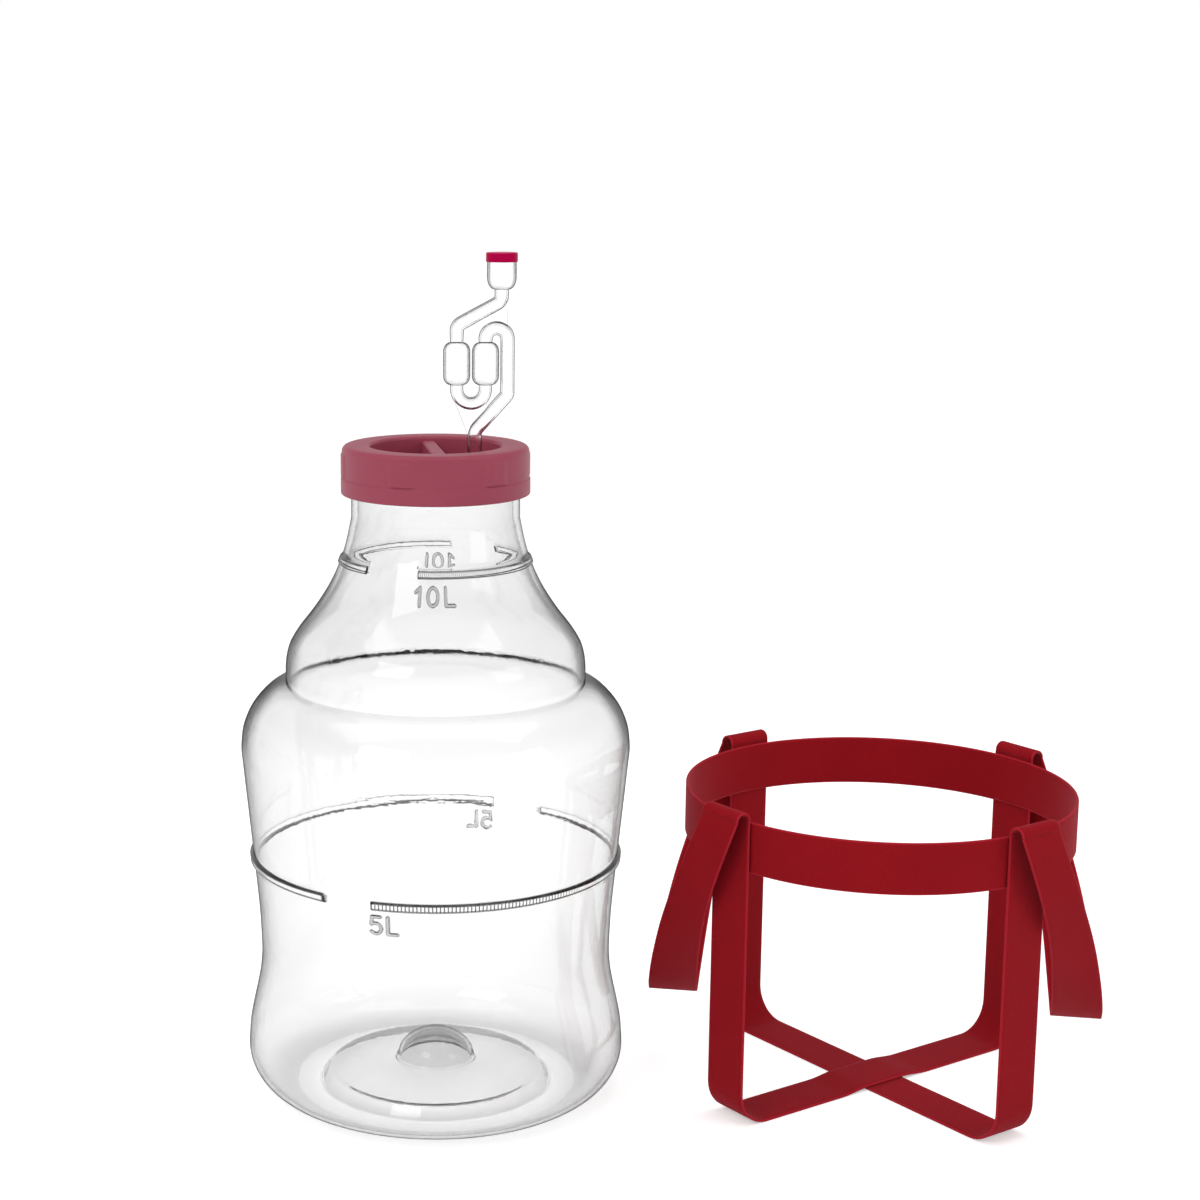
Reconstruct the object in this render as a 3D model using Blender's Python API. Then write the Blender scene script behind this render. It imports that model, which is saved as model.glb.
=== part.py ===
# A ten litre plastic demijohn with a screw cap, an S-type airlock and its carrying harness.
# All lengths are in metres and +Z is up. The origin is the centre of the footprint.
# The front of the object, which faces -Y, is the side that carries the volume marks.

from math import atan2, cos, pi, radians, sin, tan

import bmesh
import bpy
from mathutils import Vector

# Clearance between pieces that touch
FIT_GAP = 0.0003
# Length by which a cutter or a fused piece runs past the face that it meets
OVERRUN = 0.001

# Bottle, from the foot up
FOOT_INNER_RADIUS = 0.069
FOOT_OUTER_RADIUS = 0.084
PUNT_STEP_HEIGHT = 0.008
PUNT_STEP_WIDTH = 0.004
PUNT_FLOOR_HEIGHT = 0.0125
DOME_RADIUS = 0.0225
DOME_RISE = 0.0175
BELLY_RADIUS = 0.1126
BELLY_HEIGHT = 0.027
WAIST_RADIUS = 0.1042
WAIST_HEIGHT = 0.086
BODY_RADIUS = 0.1147
SHOULDER_HEIGHT = 0.210
GROOVE_RADIUS = 0.0881
GROOVE_HEIGHT = 0.2485
NECK_RADIUS = 0.049
NECK_LENGTH = 0.037
BOTTLE_HEIGHT = 0.383
BODY_WALL = 0.0018
NECK_WALL = 0.0036
RIM_ROUND = 0.001
BEAD_DROP = 0.0163
BEAD_RISE = 0.0029
BEAD_HEIGHT = 0.0045

# Raised rings that mark five and ten litres, each in two arcs
FIVE_LITRE_HEIGHT = 0.1441
FIVE_LITRE_RISE = 0.0021
FIVE_LITRE_THICKNESS = 0.0054
FIVE_LITRE_GAPS_DEG = ((-34.7, -20.1), (142.5, 159.5))
TEN_LITRE_HEIGHT = 0.3217
TEN_LITRE_RISE = 0.0012
TEN_LITRE_THICKNESS = 0.0045
TEN_LITRE_GAPS_DEG = ((-44.0, -10.5), (136.0, 169.5))

# Screw cap
CAP_HEIGHT = 0.028
CAP_WALL = 0.0026
CAP_CEILING = 0.003
CAP_EDGE_ROUND = 0.0032
SKIRT_CLEARANCE = 0.0004
RECESS_RADIUS = 0.038
RECESS_DEPTH = 0.015
RECESS_EDGE_ROUND = 0.0018
RECESS_WALL = 0.0024
RECESS_FLOOR = 0.0025
BAND_HEIGHT = 0.009
GRIP_RISE = 0.0007
GRIP_WIDTH_DEG = 15.0
GRIP_COUNT = 6
GRIP_TURN_DEG = -21.0
BAR_WIDTH = 0.008
BAR_DROP = 0.0025
BAR_TURN_DEG = 6.5
SEAL_THICKNESS = 0.0015

# Grommet in the cap's off-centre hole
GROMMET_OFFSET = 0.0225
GROMMET_RADIUS = 0.0065
GROMMET_DEPTH = 0.0075
FLANGE_RADIUS = 0.0086
FLANGE_THICKNESS = 0.0012
COLLAR_RADIUS = 0.0063
COLLAR_HEIGHT = 0.0014

# Airlock, drawn in its own plane from the tip of the stem
AIRLOCK_WALL = 0.0009
TIP_RADIUS = 0.0033
TIP_LENGTH = 0.006
TIP_STEP = 0.0004
STEM_RADIUS = 0.0039
STEM_BEND_HEIGHT = 0.0258
STEM_BEND_ROUND = 0.008
RISER_OFFSET = 0.0187
RISER_BEND_HEIGHT = 0.0467
RISER_BEND_ROUND = 0.004
ARCH_CENTRE_HEIGHT = 0.0786
RIGHT_BULB_OFFSET = 0.0061
LEFT_BULB_OFFSET = -0.0104
LOOP_CENTRE_HEIGHT = 0.0498
BULB_RADIUS = 0.0076
BULB_LENGTH = 0.0244
BULB_HEIGHT = 0.0645
BULB_SHOULDER = 0.0052
NARROW_RADIUS = 0.0036
CROSSOVER_LOW_HEIGHT = 0.0863
CROSSOVER_HIGH_HEIGHT = 0.1001
CROSSOVER_ROUND = 0.005
CUP_OFFSET = 0.0152
CUP_RADIUS = 0.00825
CUP_JOINT_HEIGHT = 0.1068
CUP_SHOULDER = 0.0068
AIRLOCK_HEIGHT = 0.1264
WEB_THICKNESS = 0.0012

# Dust cap over the airlock's cup
DUST_CAP_WALL = 0.00055
DUST_CAP_TOP = 0.001
DUST_CAP_HEIGHT = 0.0053

# Carrying harness of flat webbing, standing by itself at the bottle's right
WEBBING_WIDTH = 0.030
WEBBING_THICKNESS = 0.0014
HARNESS_SPACING = 0.0293
HARNESS_TURN_DEG = -11.0
HARNESS_CLEARANCE = 0.0005
HOOP_TOP_HEIGHT = 0.184
FOLD_LIFT = 0.0015
FOLD_RADIUS = 0.0045
BASE_BEND_RADIUS = 0.020
RAMP_LENGTH = 0.020
HANDLE_REACH = 0.120
HANDLE_BOTTOM_HEIGHT = 0.048

# Number of facets round each kind of piece
BOTTLE_FACETS = 36
CAP_FACETS = 60
SEAL_FACETS = 48
SMALL_FACETS = 24
HOOP_FACETS = 64
BEND_STEPS = 4
HALF_TUBE_STEPS = 6
STRAP_BEND_STEPS = 5
FOLD_STEPS = 8
HANDLE_STEPS = 14
SHARP_EDGE_DEG = 40.0

# Shares of the climb and of the change in radius along three stretches of the bottle's side
WAIST_TO_SHOULDER_SHARES = ((0.138, 0.055), (0.477, 0.40), (0.742, 0.705), (0.86, 0.843), (0.939, 0.933))
SHOULDER_TO_GROOVE_SHARES = (
    (0.184, 0.019),
    (0.29, 0.042),
    (0.397, 0.09),
    (0.506, 0.154),
    (0.605, 0.233),
    (0.714, 0.35),
    (0.813, 0.479),
    (0.914, 0.662),
    (0.969, 0.835),
)
GROOVE_TO_NECK_SHARES = (
    (0.077, 0.0),
    (0.149, 0.013),
    (0.228, 0.061),
    (0.26, 0.10),
    (0.329, 0.21),
    (0.409, 0.366),
    (0.497, 0.522),
    (0.594, 0.669),
    (0.682, 0.775),
    (0.841, 0.913),
)

# Shares of a raised ring's thickness, from its middle, and of its rise
RING_SECTION_SHARES = ((-0.5, 0.0), (-0.28, 0.8), (0.0, 1.0), (0.28, 0.8), (0.5, 0.0))

# Shares of drop, of distance to the middle and of outward reach along half a handle
HANDLE_SHARES = (
    (0.0, 1.0, 0.0),
    (0.12, 0.98, 0.18),
    (0.32, 0.86, 0.46),
    (0.54, 0.64, 0.71),
    (0.76, 0.38, 0.88),
    (0.92, 0.16, 0.97),
    (1.0, 0.0, 1.0),
)

# Sizes that follow from the ones above
BEAD_RADIUS = NECK_RADIUS + BEAD_RISE
SKIRT_INNER_RADIUS = BEAD_RADIUS + SKIRT_CLEARANCE
SKIRT_OUTER_RADIUS = SKIRT_INNER_RADIUS + CAP_WALL
SEAL_HEIGHT = BOTTLE_HEIGHT + FIT_GAP
CEILING_HEIGHT = SEAL_HEIGHT + SEAL_THICKNESS + FIT_GAP
CAP_TOP_HEIGHT = CEILING_HEIGHT + CAP_CEILING
CAP_BOTTOM_HEIGHT = CAP_TOP_HEIGHT - CAP_HEIGHT
RECESS_FLOOR_HEIGHT = CAP_TOP_HEIGHT - RECESS_DEPTH
PLUG_RADIUS = RECESS_RADIUS + RECESS_WALL
FLANGE_HEIGHT = RECESS_FLOOR_HEIGHT + FIT_GAP
COLLAR_TOP_HEIGHT = FLANGE_HEIGHT + FLANGE_THICKNESS + COLLAR_HEIGHT
AIRLOCK_BASE_HEIGHT = COLLAR_TOP_HEIGHT + FIT_GAP - TIP_LENGTH
HOOP_RADIUS = BELLY_RADIUS + HARNESS_CLEARANCE + WEBBING_THICKNESS / 2
UPRIGHT_RADIUS = HOOP_RADIUS + WEBBING_THICKNESS + FIT_GAP
FOLD_HEIGHT = HOOP_TOP_HEIGHT + FOLD_LIFT
FOLD_AXIS_RADIUS = UPRIGHT_RADIUS + FOLD_RADIUS
STRAP_REST_HEIGHT = WEBBING_THICKNESS / 2
HARNESS_DISTANCE = BODY_RADIUS + HARNESS_SPACING + HANDLE_REACH


def clear_scene():
    for item in list(bpy.data.objects):
        bpy.data.objects.remove(item, do_unlink=True)


def plastic(name, colour, roughness, metallic=0.0, alpha=1.0):
    material = bpy.data.materials.new(name)
    material.use_nodes = True
    shader = material.node_tree.nodes["Principled BSDF"]
    shader.inputs["Base Color"].default_value = (*colour, 1.0)
    shader.inputs["Roughness"].default_value = roughness
    shader.inputs["Metallic"].default_value = metallic
    shader.inputs["Alpha"].default_value = alpha
    return material


def add_empty(name, location=(0, 0, 0), turn_deg=0.0, parent=None):
    empty = bpy.data.objects.new(name, None)
    bpy.context.scene.collection.objects.link(empty)
    empty.location = location
    empty.rotation_euler.z = radians(turn_deg)
    empty.parent = parent
    return empty


def add_mesh(name, mesh_data, material, parent):
    bmesh.ops.recalc_face_normals(mesh_data, faces=mesh_data.faces)
    mesh = bpy.data.meshes.new(name)
    mesh_data.to_mesh(mesh)
    mesh_data.free()
    mesh.materials.append(material)
    mesh.shade_smooth()
    mesh.set_sharp_from_angle(angle=radians(SHARP_EDGE_DEG))
    item = bpy.data.objects.new(name, mesh)
    bpy.context.scene.collection.objects.link(item)
    item.parent = parent
    return item


def combine(item, other, operation):
    """Unite the item with a helper, or cut the helper from it."""
    other.hide_render = True
    other.display_type = "WIRE"
    modifier = item.modifiers.new(other.name, "BOOLEAN")
    modifier.operation = operation
    modifier.object = other
    modifier.solver = "EXACT"


def turned(profile, facets, swell=None, centre=(0.0, 0.0)):
    """A turned body from (radius, height) points that end on the axis or close on themselves."""
    mesh = bmesh.new()
    rings = []
    for index, (radius, height) in enumerate(profile):
        if radius == 0:
            rings.append([mesh.verts.new((centre[0], centre[1], height))] * facets)
            continue
        ring = []
        for step in range(facets):
            angle = 2 * pi * step / facets
            reach = radius + (swell(index, angle) if swell else 0)
            across = centre[0] + reach * cos(angle)
            back = centre[1] + reach * sin(angle)
            ring.append(mesh.verts.new((across, back, height)))
        rings.append(ring)
    if profile[0][0] > 0:
        rings.append(rings[0])
    for lower, upper in zip(rings, rings[1:]):
        for step in range(facets):
            following = (step + 1) % facets
            corners = [lower[step], lower[following], upper[following], upper[step]]
            mesh.faces.new(list(dict.fromkeys(corners)))
    return mesh


def quarter_round(centre, radii, start_deg, end_deg, steps):
    """Points of an elliptical arc about a centre, both as (radius, height)."""
    points = []
    for step in range(steps + 1):
        angle = radians(start_deg + (end_deg - start_deg) * step / steps)
        points.append((centre[0] + radii[0] * cos(angle), centre[1] + radii[1] * sin(angle)))
    return points


def stretch(start, end, shares):
    """Points between two (radius, height) ends, from shares of the climb and of the change in radius."""
    points = []
    for climb, change in shares:
        points.append((start[0] + (end[0] - start[0]) * change, start[1] + (end[1] - start[1]) * climb))
    return points


def bottle_side():
    """The bottle's outer side from the belly to the neck, as (radius, height) points."""
    belly = (BELLY_RADIUS, BELLY_HEIGHT)
    waist = (WAIST_RADIUS, WAIST_HEIGHT)
    shoulder = (BODY_RADIUS, SHOULDER_HEIGHT)
    groove = (GROOVE_RADIUS, GROOVE_HEIGHT)
    neck = (NECK_RADIUS, BOTTLE_HEIGHT - NECK_LENGTH)
    wave_steps = 5
    wave_shares = []
    for step in range(1, wave_steps):
        climb = step / wave_steps
        wave_shares.append((climb, (1 - cos(pi * climb)) / 2))
    side = [belly] + stretch(belly, waist, wave_shares)
    side += [waist] + stretch(waist, shoulder, WAIST_TO_SHOULDER_SHARES)
    side += [shoulder] + stretch(shoulder, groove, SHOULDER_TO_GROOVE_SHARES)
    side += [groove] + stretch(groove, neck, GROOVE_TO_NECK_SHARES)
    side.append(neck)
    return side


def set_in(points, walls):
    """The points moved inwards, square to the line that they follow, by a wall for each."""
    courses = []
    for start, end in zip(points, points[1:]):
        courses.append((Vector(end) - Vector(start)).normalized())
    courses = [courses[0]] + courses + [courses[-1]]
    moved = []
    for point, wall, behind, ahead in zip(points, walls, courses, courses[1:]):
        middle = (behind + ahead).normalized()
        reach = wall / middle.dot(ahead)
        moved.append((point[0] - middle.y * reach, point[1] + middle.x * reach))
    return moved


def radius_at(side, height):
    for (low_radius, low), (high_radius, high) in zip(side, side[1:]):
        if low <= height <= high:
            return low_radius + (high_radius - low_radius) * (height - low) / (high - low)
    return side[-1][0]


def ring_rows(side, height, thickness, rise):
    """Rows of a raised ring, each as (radius, height) with the rise that its arcs add."""
    rows = []
    for level, lift in RING_SECTION_SHARES:
        row_height = height + thickness * level
        rows.append(((radius_at(side, row_height), row_height), rise * lift))
    return rows


def make_bottle(material, parent):
    side = bottle_side()
    rows = []
    for point in side:
        near_five = abs(point[1] - FIVE_LITRE_HEIGHT) < FIVE_LITRE_THICKNESS / 2
        near_ten = abs(point[1] - TEN_LITRE_HEIGHT) < TEN_LITRE_THICKNESS / 2
        if not near_five and not near_ten:
            rows.append((point, 0.0, ()))
    for height, thickness, rise, gaps in (
        (FIVE_LITRE_HEIGHT, FIVE_LITRE_THICKNESS, FIVE_LITRE_RISE, FIVE_LITRE_GAPS_DEG),
        (TEN_LITRE_HEIGHT, TEN_LITRE_THICKNESS, TEN_LITRE_RISE, TEN_LITRE_GAPS_DEG),
    ):
        for point, lift in ring_rows(side, height, thickness, rise):
            rows.append((point, lift, gaps))
    rows.sort(key=lambda row: row[0][1])

    dome_top = PUNT_FLOOR_HEIGHT + DOME_RISE
    punt_edge = FOOT_INNER_RADIUS - PUNT_STEP_WIDTH
    under = [(0, dome_top)] + quarter_round((0, PUNT_FLOOR_HEIGHT), (DOME_RADIUS, DOME_RISE), 60, 0, 3)
    under += [(punt_edge, PUNT_STEP_HEIGHT), (FOOT_INNER_RADIUS, 0)]
    corner_radii = (BELLY_RADIUS - FOOT_OUTER_RADIUS, BELLY_HEIGHT)
    corner = quarter_round((FOOT_OUTER_RADIUS, BELLY_HEIGHT), corner_radii, -90, 0, 5)[:-1]

    bead_height = BOTTLE_HEIGHT - BEAD_DROP
    bead = [(NECK_RADIUS, bead_height - BEAD_HEIGHT / 2)]
    bead += quarter_round((NECK_RADIUS, bead_height), (BEAD_RISE, BEAD_HEIGHT / 2), -45, 45, 2)
    bead.append((NECK_RADIUS, bead_height + BEAD_HEIGHT / 2))
    mouth_radius = NECK_RADIUS - NECK_WALL
    rim_height = BOTTLE_HEIGHT - RIM_ROUND
    rim = quarter_round((NECK_RADIUS - RIM_ROUND, rim_height), (RIM_ROUND, RIM_ROUND), 0, 90, 2)
    rim += quarter_round((mouth_radius + RIM_ROUND, rim_height), (RIM_ROUND, RIM_ROUND), 90, 180, 2)

    neck_start = BOTTLE_HEIGHT - NECK_LENGTH
    walls = []
    for _, height in side:
        share = max(0.0, (height - GROOVE_HEIGHT) / (neck_start - GROOVE_HEIGHT))
        walls.append(BODY_WALL + (NECK_WALL - BODY_WALL) * share)
    inside = [(mouth_radius, neck_start)] + set_in(side, walls)[-2:0:-1]
    inside.append((BELLY_RADIUS - BODY_WALL, BELLY_HEIGHT))
    inner_corner_radii = (corner_radii[0] - BODY_WALL, corner_radii[1] - BODY_WALL)
    inner_corner = quarter_round((FOOT_OUTER_RADIUS, BELLY_HEIGHT), inner_corner_radii, 0, -90, 4)[1:]
    inner_punt = [
        (FOOT_INNER_RADIUS, BODY_WALL),
        (punt_edge, PUNT_STEP_HEIGHT + BODY_WALL),
    ]
    inner_dome_radii = (DOME_RADIUS + BODY_WALL, DOME_RISE + BODY_WALL)
    inner_dome = quarter_round((0, PUNT_FLOOR_HEIGHT), inner_dome_radii, 8, 60, 3)
    inner_dome.append((0, dome_top + BODY_WALL))

    profile = under + corner + [row[0] for row in rows] + bead + rim + inside + inner_corner
    profile += inner_punt + inner_dome
    first_row = len(under) + len(corner)

    def swell(index, angle):
        row = index - first_row
        if not 0 <= row < len(rows) or rows[row][1] == 0:
            return 0.0
        from_front = (angle * 180 / pi + 90 + 180) % 360 - 180
        for gap_start, gap_end in rows[row][2]:
            if gap_start <= from_front <= gap_end:
                return 0.0
        return rows[row][1]

    return add_mesh("bottle", turned(profile, BOTTLE_FACETS, swell), material, parent)


def make_cap(material, parent):
    low_outer = SKIRT_OUTER_RADIUS
    pad_outer = SKIRT_OUTER_RADIUS - GRIP_RISE
    edge_centre = (pad_outer - CAP_EDGE_ROUND, CAP_TOP_HEIGHT - CAP_EDGE_ROUND)
    recess_edge = (RECESS_RADIUS + RECESS_EDGE_ROUND, CAP_TOP_HEIGHT - RECESS_EDGE_ROUND)
    band_top = CAP_BOTTOM_HEIGHT + BAND_HEIGHT
    pad_top = CAP_TOP_HEIGHT - CAP_EDGE_ROUND
    chamfer = GRIP_RISE
    outside = [
        (SKIRT_INNER_RADIUS, CAP_BOTTOM_HEIGHT),
        (low_outer - chamfer, CAP_BOTTOM_HEIGHT),
        (low_outer, CAP_BOTTOM_HEIGHT + chamfer),
        (low_outer, band_top - chamfer),
        (pad_outer, band_top),
        (pad_outer, pad_top - chamfer),
    ]
    top = quarter_round(edge_centre, (CAP_EDGE_ROUND, CAP_EDGE_ROUND), 0, 90, 4)
    top += quarter_round(recess_edge, (RECESS_EDGE_ROUND, RECESS_EDGE_ROUND), 90, 180, 2)
    recess = [(RECESS_RADIUS, RECESS_FLOOR_HEIGHT), (0, RECESS_FLOOR_HEIGHT)]
    underside = [
        (0, RECESS_FLOOR_HEIGHT - RECESS_FLOOR),
        (PLUG_RADIUS, RECESS_FLOOR_HEIGHT - RECESS_FLOOR),
        (PLUG_RADIUS, CEILING_HEIGHT),
        (SKIRT_INNER_RADIUS, CEILING_HEIGHT),
    ]
    profile = underside + outside + top + recess
    pad_rows = (len(underside) + 4, len(underside) + 5)

    def swell(index, angle):
        if index not in pad_rows:
            return 0.0
        from_front = angle * 180 / pi + 90 - GRIP_TURN_DEG
        pitch = 360 / GRIP_COUNT
        from_pad = abs((from_front + pitch / 2) % pitch - pitch / 2)
        return GRIP_RISE if from_pad <= GRIP_WIDTH_DEG / 2 else 0.0

    cap = add_mesh("screw_cap", turned(profile, CAP_FACETS, swell), material, parent)

    bar = bmesh.new()
    bmesh.ops.create_cube(bar, size=1)
    bar_height = RECESS_DEPTH - BAR_DROP + RECESS_FLOOR / 2
    bar_centre = RECESS_FLOOR_HEIGHT - RECESS_FLOOR / 2 + bar_height / 2
    bmesh.ops.scale(bar, vec=(BAR_WIDTH, 2 * RECESS_RADIUS + RECESS_WALL, bar_height), verts=bar.verts)
    bmesh.ops.translate(bar, vec=(0, 0, bar_centre), verts=bar.verts)
    grip_bar = add_mesh("grip_bar", bar, material, parent)
    grip_bar.rotation_euler.z = radians(BAR_TURN_DEG)
    combine(cap, grip_bar, "UNION")

    hole_radius = GROMMET_RADIUS + FIT_GAP
    hole_profile = [
        (0, RECESS_FLOOR_HEIGHT - RECESS_FLOOR - OVERRUN),
        (hole_radius, RECESS_FLOOR_HEIGHT - RECESS_FLOOR - OVERRUN),
        (hole_radius, RECESS_FLOOR_HEIGHT + OVERRUN),
        (0, RECESS_FLOOR_HEIGHT + OVERRUN),
    ]
    hole = turned(hole_profile, SMALL_FACETS, centre=(GROMMET_OFFSET, 0))
    combine(cap, add_mesh("grommet_hole", hole, material, parent), "DIFFERENCE")
    return cap


def make_cap_seal(material, parent):
    inner = PLUG_RADIUS + FIT_GAP
    outer = SKIRT_INNER_RADIUS - FIT_GAP
    top = SEAL_HEIGHT + SEAL_THICKNESS
    profile = [(inner, SEAL_HEIGHT), (outer, SEAL_HEIGHT), (outer, top), (inner, top)]
    return add_mesh("cap_seal", turned(profile, SEAL_FACETS), material, parent)


def make_grommet(material, parent):
    bore = TIP_RADIUS + FIT_GAP
    body_bottom = FLANGE_HEIGHT - GROMMET_DEPTH
    flange_top = FLANGE_HEIGHT + FLANGE_THICKNESS
    taper = FLANGE_THICKNESS / 2
    profile = [
        (bore, body_bottom),
        (GROMMET_RADIUS - taper, body_bottom),
        (GROMMET_RADIUS, body_bottom + taper),
        (GROMMET_RADIUS, FLANGE_HEIGHT),
        (FLANGE_RADIUS, FLANGE_HEIGHT),
        (FLANGE_RADIUS, flange_top),
        (COLLAR_RADIUS, flange_top),
        (COLLAR_RADIUS - taper / 2, COLLAR_TOP_HEIGHT),
        (bore, COLLAR_TOP_HEIGHT),
    ]
    mesh = turned(profile, SMALL_FACETS, centre=(GROMMET_OFFSET, 0))
    return add_mesh("grommet", mesh, material, parent)


def rounded_corner(before, corner, after, radius):
    """Points of the arc that rounds one corner of a route drawn as (offset, height)."""
    toward = Vector(before) - Vector(corner)
    onward = Vector(after) - Vector(corner)
    toward.normalize()
    onward.normalize()
    half_angle = toward.angle(onward) / 2
    centre = Vector(corner) + (toward + onward).normalized() * (radius / sin(half_angle))
    start = Vector(corner) + toward * (radius / tan(half_angle)) - centre
    end = Vector(corner) + onward * (radius / tan(half_angle)) - centre
    turn = atan2(start.cross(end), start.dot(end))
    points = []
    for step in range(BEND_STEPS + 1):
        angle = turn * step / BEND_STEPS
        points.append(centre + start * cos(angle) + Vector((-start.y, start.x)) * sin(angle))
    return points


def swelling(offset, narrow, wide, joint, shoulder_end, steps=3):
    """Stations of one rounded shoulder of a bulb or cup, from its joint to its full radius."""
    stations = []
    for step in range(steps + 1):
        angle = pi / 2 * step / steps
        height = shoulder_end + (joint - shoulder_end) * cos(angle)
        stations.append((Vector((offset, height)), narrow + (wide - narrow) * sin(angle)))
    return stations


def bulb(offset, downward):
    low = BULB_HEIGHT - BULB_LENGTH / 2
    high = BULB_HEIGHT + BULB_LENGTH / 2
    stations = swelling(offset, NARROW_RADIUS, BULB_RADIUS, low, low + BULB_SHOULDER)
    stations += reversed(swelling(offset, NARROW_RADIUS, BULB_RADIUS, high, high - BULB_SHOULDER))
    return stations[::-1] if downward else stations


def airlock_stations():
    """Centres and outer radii along the airlock's single tube, from the stem's tip to the cup's mouth."""
    arch_round = (RISER_OFFSET - RIGHT_BULB_OFFSET) / 2
    loop_round = (RIGHT_BULB_OFFSET - LEFT_BULB_OFFSET) / 2
    corners = (
        ((0, 0), 0, STEM_RADIUS),
        ((0, STEM_BEND_HEIGHT), STEM_BEND_ROUND, STEM_RADIUS),
        ((RISER_OFFSET, RISER_BEND_HEIGHT), RISER_BEND_ROUND, STEM_RADIUS),
        ((RISER_OFFSET, ARCH_CENTRE_HEIGHT + arch_round), arch_round, STEM_RADIUS),
        ((RIGHT_BULB_OFFSET, ARCH_CENTRE_HEIGHT + arch_round), arch_round, STEM_RADIUS),
        ((RIGHT_BULB_OFFSET, LOOP_CENTRE_HEIGHT - loop_round), loop_round, NARROW_RADIUS),
        ((LEFT_BULB_OFFSET, LOOP_CENTRE_HEIGHT - loop_round), loop_round, NARROW_RADIUS),
        ((LEFT_BULB_OFFSET, CROSSOVER_LOW_HEIGHT), CROSSOVER_ROUND, STEM_RADIUS),
        ((CUP_OFFSET, CROSSOVER_HIGH_HEIGHT), CROSSOVER_ROUND, STEM_RADIUS),
        ((CUP_OFFSET, AIRLOCK_HEIGHT), 0, CUP_RADIUS),
    )
    stations = [
        (Vector((0, 0)), TIP_RADIUS),
        (Vector((0, TIP_LENGTH - TIP_STEP)), TIP_RADIUS),
        (Vector((0, TIP_LENGTH)), STEM_RADIUS),
    ]
    for before, (corner, radius, tube), after in zip(corners, corners[1:], corners[2:]):
        arc = rounded_corner(before[0], corner, after[0], radius)
        if (arc[0] - stations[-1][0]).length < OVERRUN / 100:
            arc = arc[1:]
        stations += [(point, tube) for point in arc]
        if corner[0] == RIGHT_BULB_OFFSET and corner[1] > BULB_HEIGHT:
            stations += bulb(RIGHT_BULB_OFFSET, downward=True)
        if corner[0] == LEFT_BULB_OFFSET and corner[1] < BULB_HEIGHT:
            stations += bulb(LEFT_BULB_OFFSET, downward=False)
    cup_end = CUP_JOINT_HEIGHT + CUP_SHOULDER
    stations += swelling(CUP_OFFSET, STEM_RADIUS, CUP_RADIUS, CUP_JOINT_HEIGHT, cup_end)
    stations.append((Vector((CUP_OFFSET, AIRLOCK_HEIGHT)), CUP_RADIUS))
    return stations


def tube_directions(stations):
    directions = []
    last = len(stations) - 1
    for index, (centre, _) in enumerate(stations):
        ahead = stations[min(index + 1, last)][0] - centre
        behind = centre - stations[max(index - 1, 0)][0]
        directions.append((ahead.normalized() + behind.normalized()).normalized())
    return directions


def half_tube(stations, side):
    """One moulded half of the tube: a C section along the stations, on side -1 or +1 of their plane."""
    mesh = bmesh.new()
    sections = []
    for (centre, radius), along in zip(stations, tube_directions(stations)):
        across = Vector((along.y, -along.x))
        section = []
        for reach, order in ((radius, 1), (radius - AIRLOCK_WALL, -1)):
            for step in range(HALF_TUBE_STEPS + 1)[::order]:
                angle = pi * step / HALF_TUBE_STEPS
                point = centre + across * (reach * cos(angle))
                depth = side * (reach * sin(angle) + FIT_GAP / 2)
                section.append(mesh.verts.new((point.x, depth, point.y)))
        sections.append(section)
    count = len(sections[0])
    for first, second in zip(sections, sections[1:]):
        for step in range(count):
            following = (step + 1) % count
            mesh.faces.new((first[step], first[following], second[following], second[step]))
    mesh.faces.new(sections[0])
    mesh.faces.new(sections[-1][::-1])
    return mesh


def web_plate(outline, side):
    """One half's flat web, just behind the plane where the halves meet, from (offset, height) points."""
    mesh = bmesh.new()
    near = side * FIT_GAP
    far = side * (FIT_GAP + WEB_THICKNESS / 2)
    fronts = [mesh.verts.new((point[0], near, point[1])) for point in outline]
    backs = [mesh.verts.new((point[0], far, point[1])) for point in outline]
    mesh.faces.new(fronts)
    mesh.faces.new(backs[::-1])
    for step in range(len(outline)):
        following = (step + 1) % len(outline)
        mesh.faces.new((fronts[step], fronts[following], backs[following], backs[step]))
    return mesh


def beside_route(start, end, share, reach):
    """A point beside a straight run, to its left by the reach, at a share of its length."""
    along = (Vector(end) - Vector(start)).normalized()
    point = Vector(start).lerp(Vector(end), share)
    return point + Vector((-along.y, along.x)) * reach


def upper_web_outline():
    """The web between the crossover, the arch and a free edge in line with the riser."""
    within = STEM_RADIUS - AIRLOCK_WALL / 2
    arch_round = (RISER_OFFSET - RIGHT_BULB_OFFSET) / 2
    arch_centre = (RIGHT_BULB_OFFSET + arch_round, ARCH_CENTRE_HEIGHT)
    arch_reach = arch_round + within
    crossover_start = (LEFT_BULB_OFFSET, CROSSOVER_LOW_HEIGHT)
    crossover_end = (CUP_OFFSET, CROSSOVER_HIGH_HEIGHT)
    outline = quarter_round(arch_centre, (arch_reach, arch_reach), 130, 60, 5)
    edge = CUP_OFFSET + within
    outline.append((edge, ARCH_CENTRE_HEIGHT + STEM_RADIUS))
    outline.append((edge, CROSSOVER_HIGH_HEIGHT + within))
    for share in (0.95, 0.6, 0.3):
        outline.append(tuple(beside_route(crossover_start, crossover_end, share, -within)))
    return outline


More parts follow.
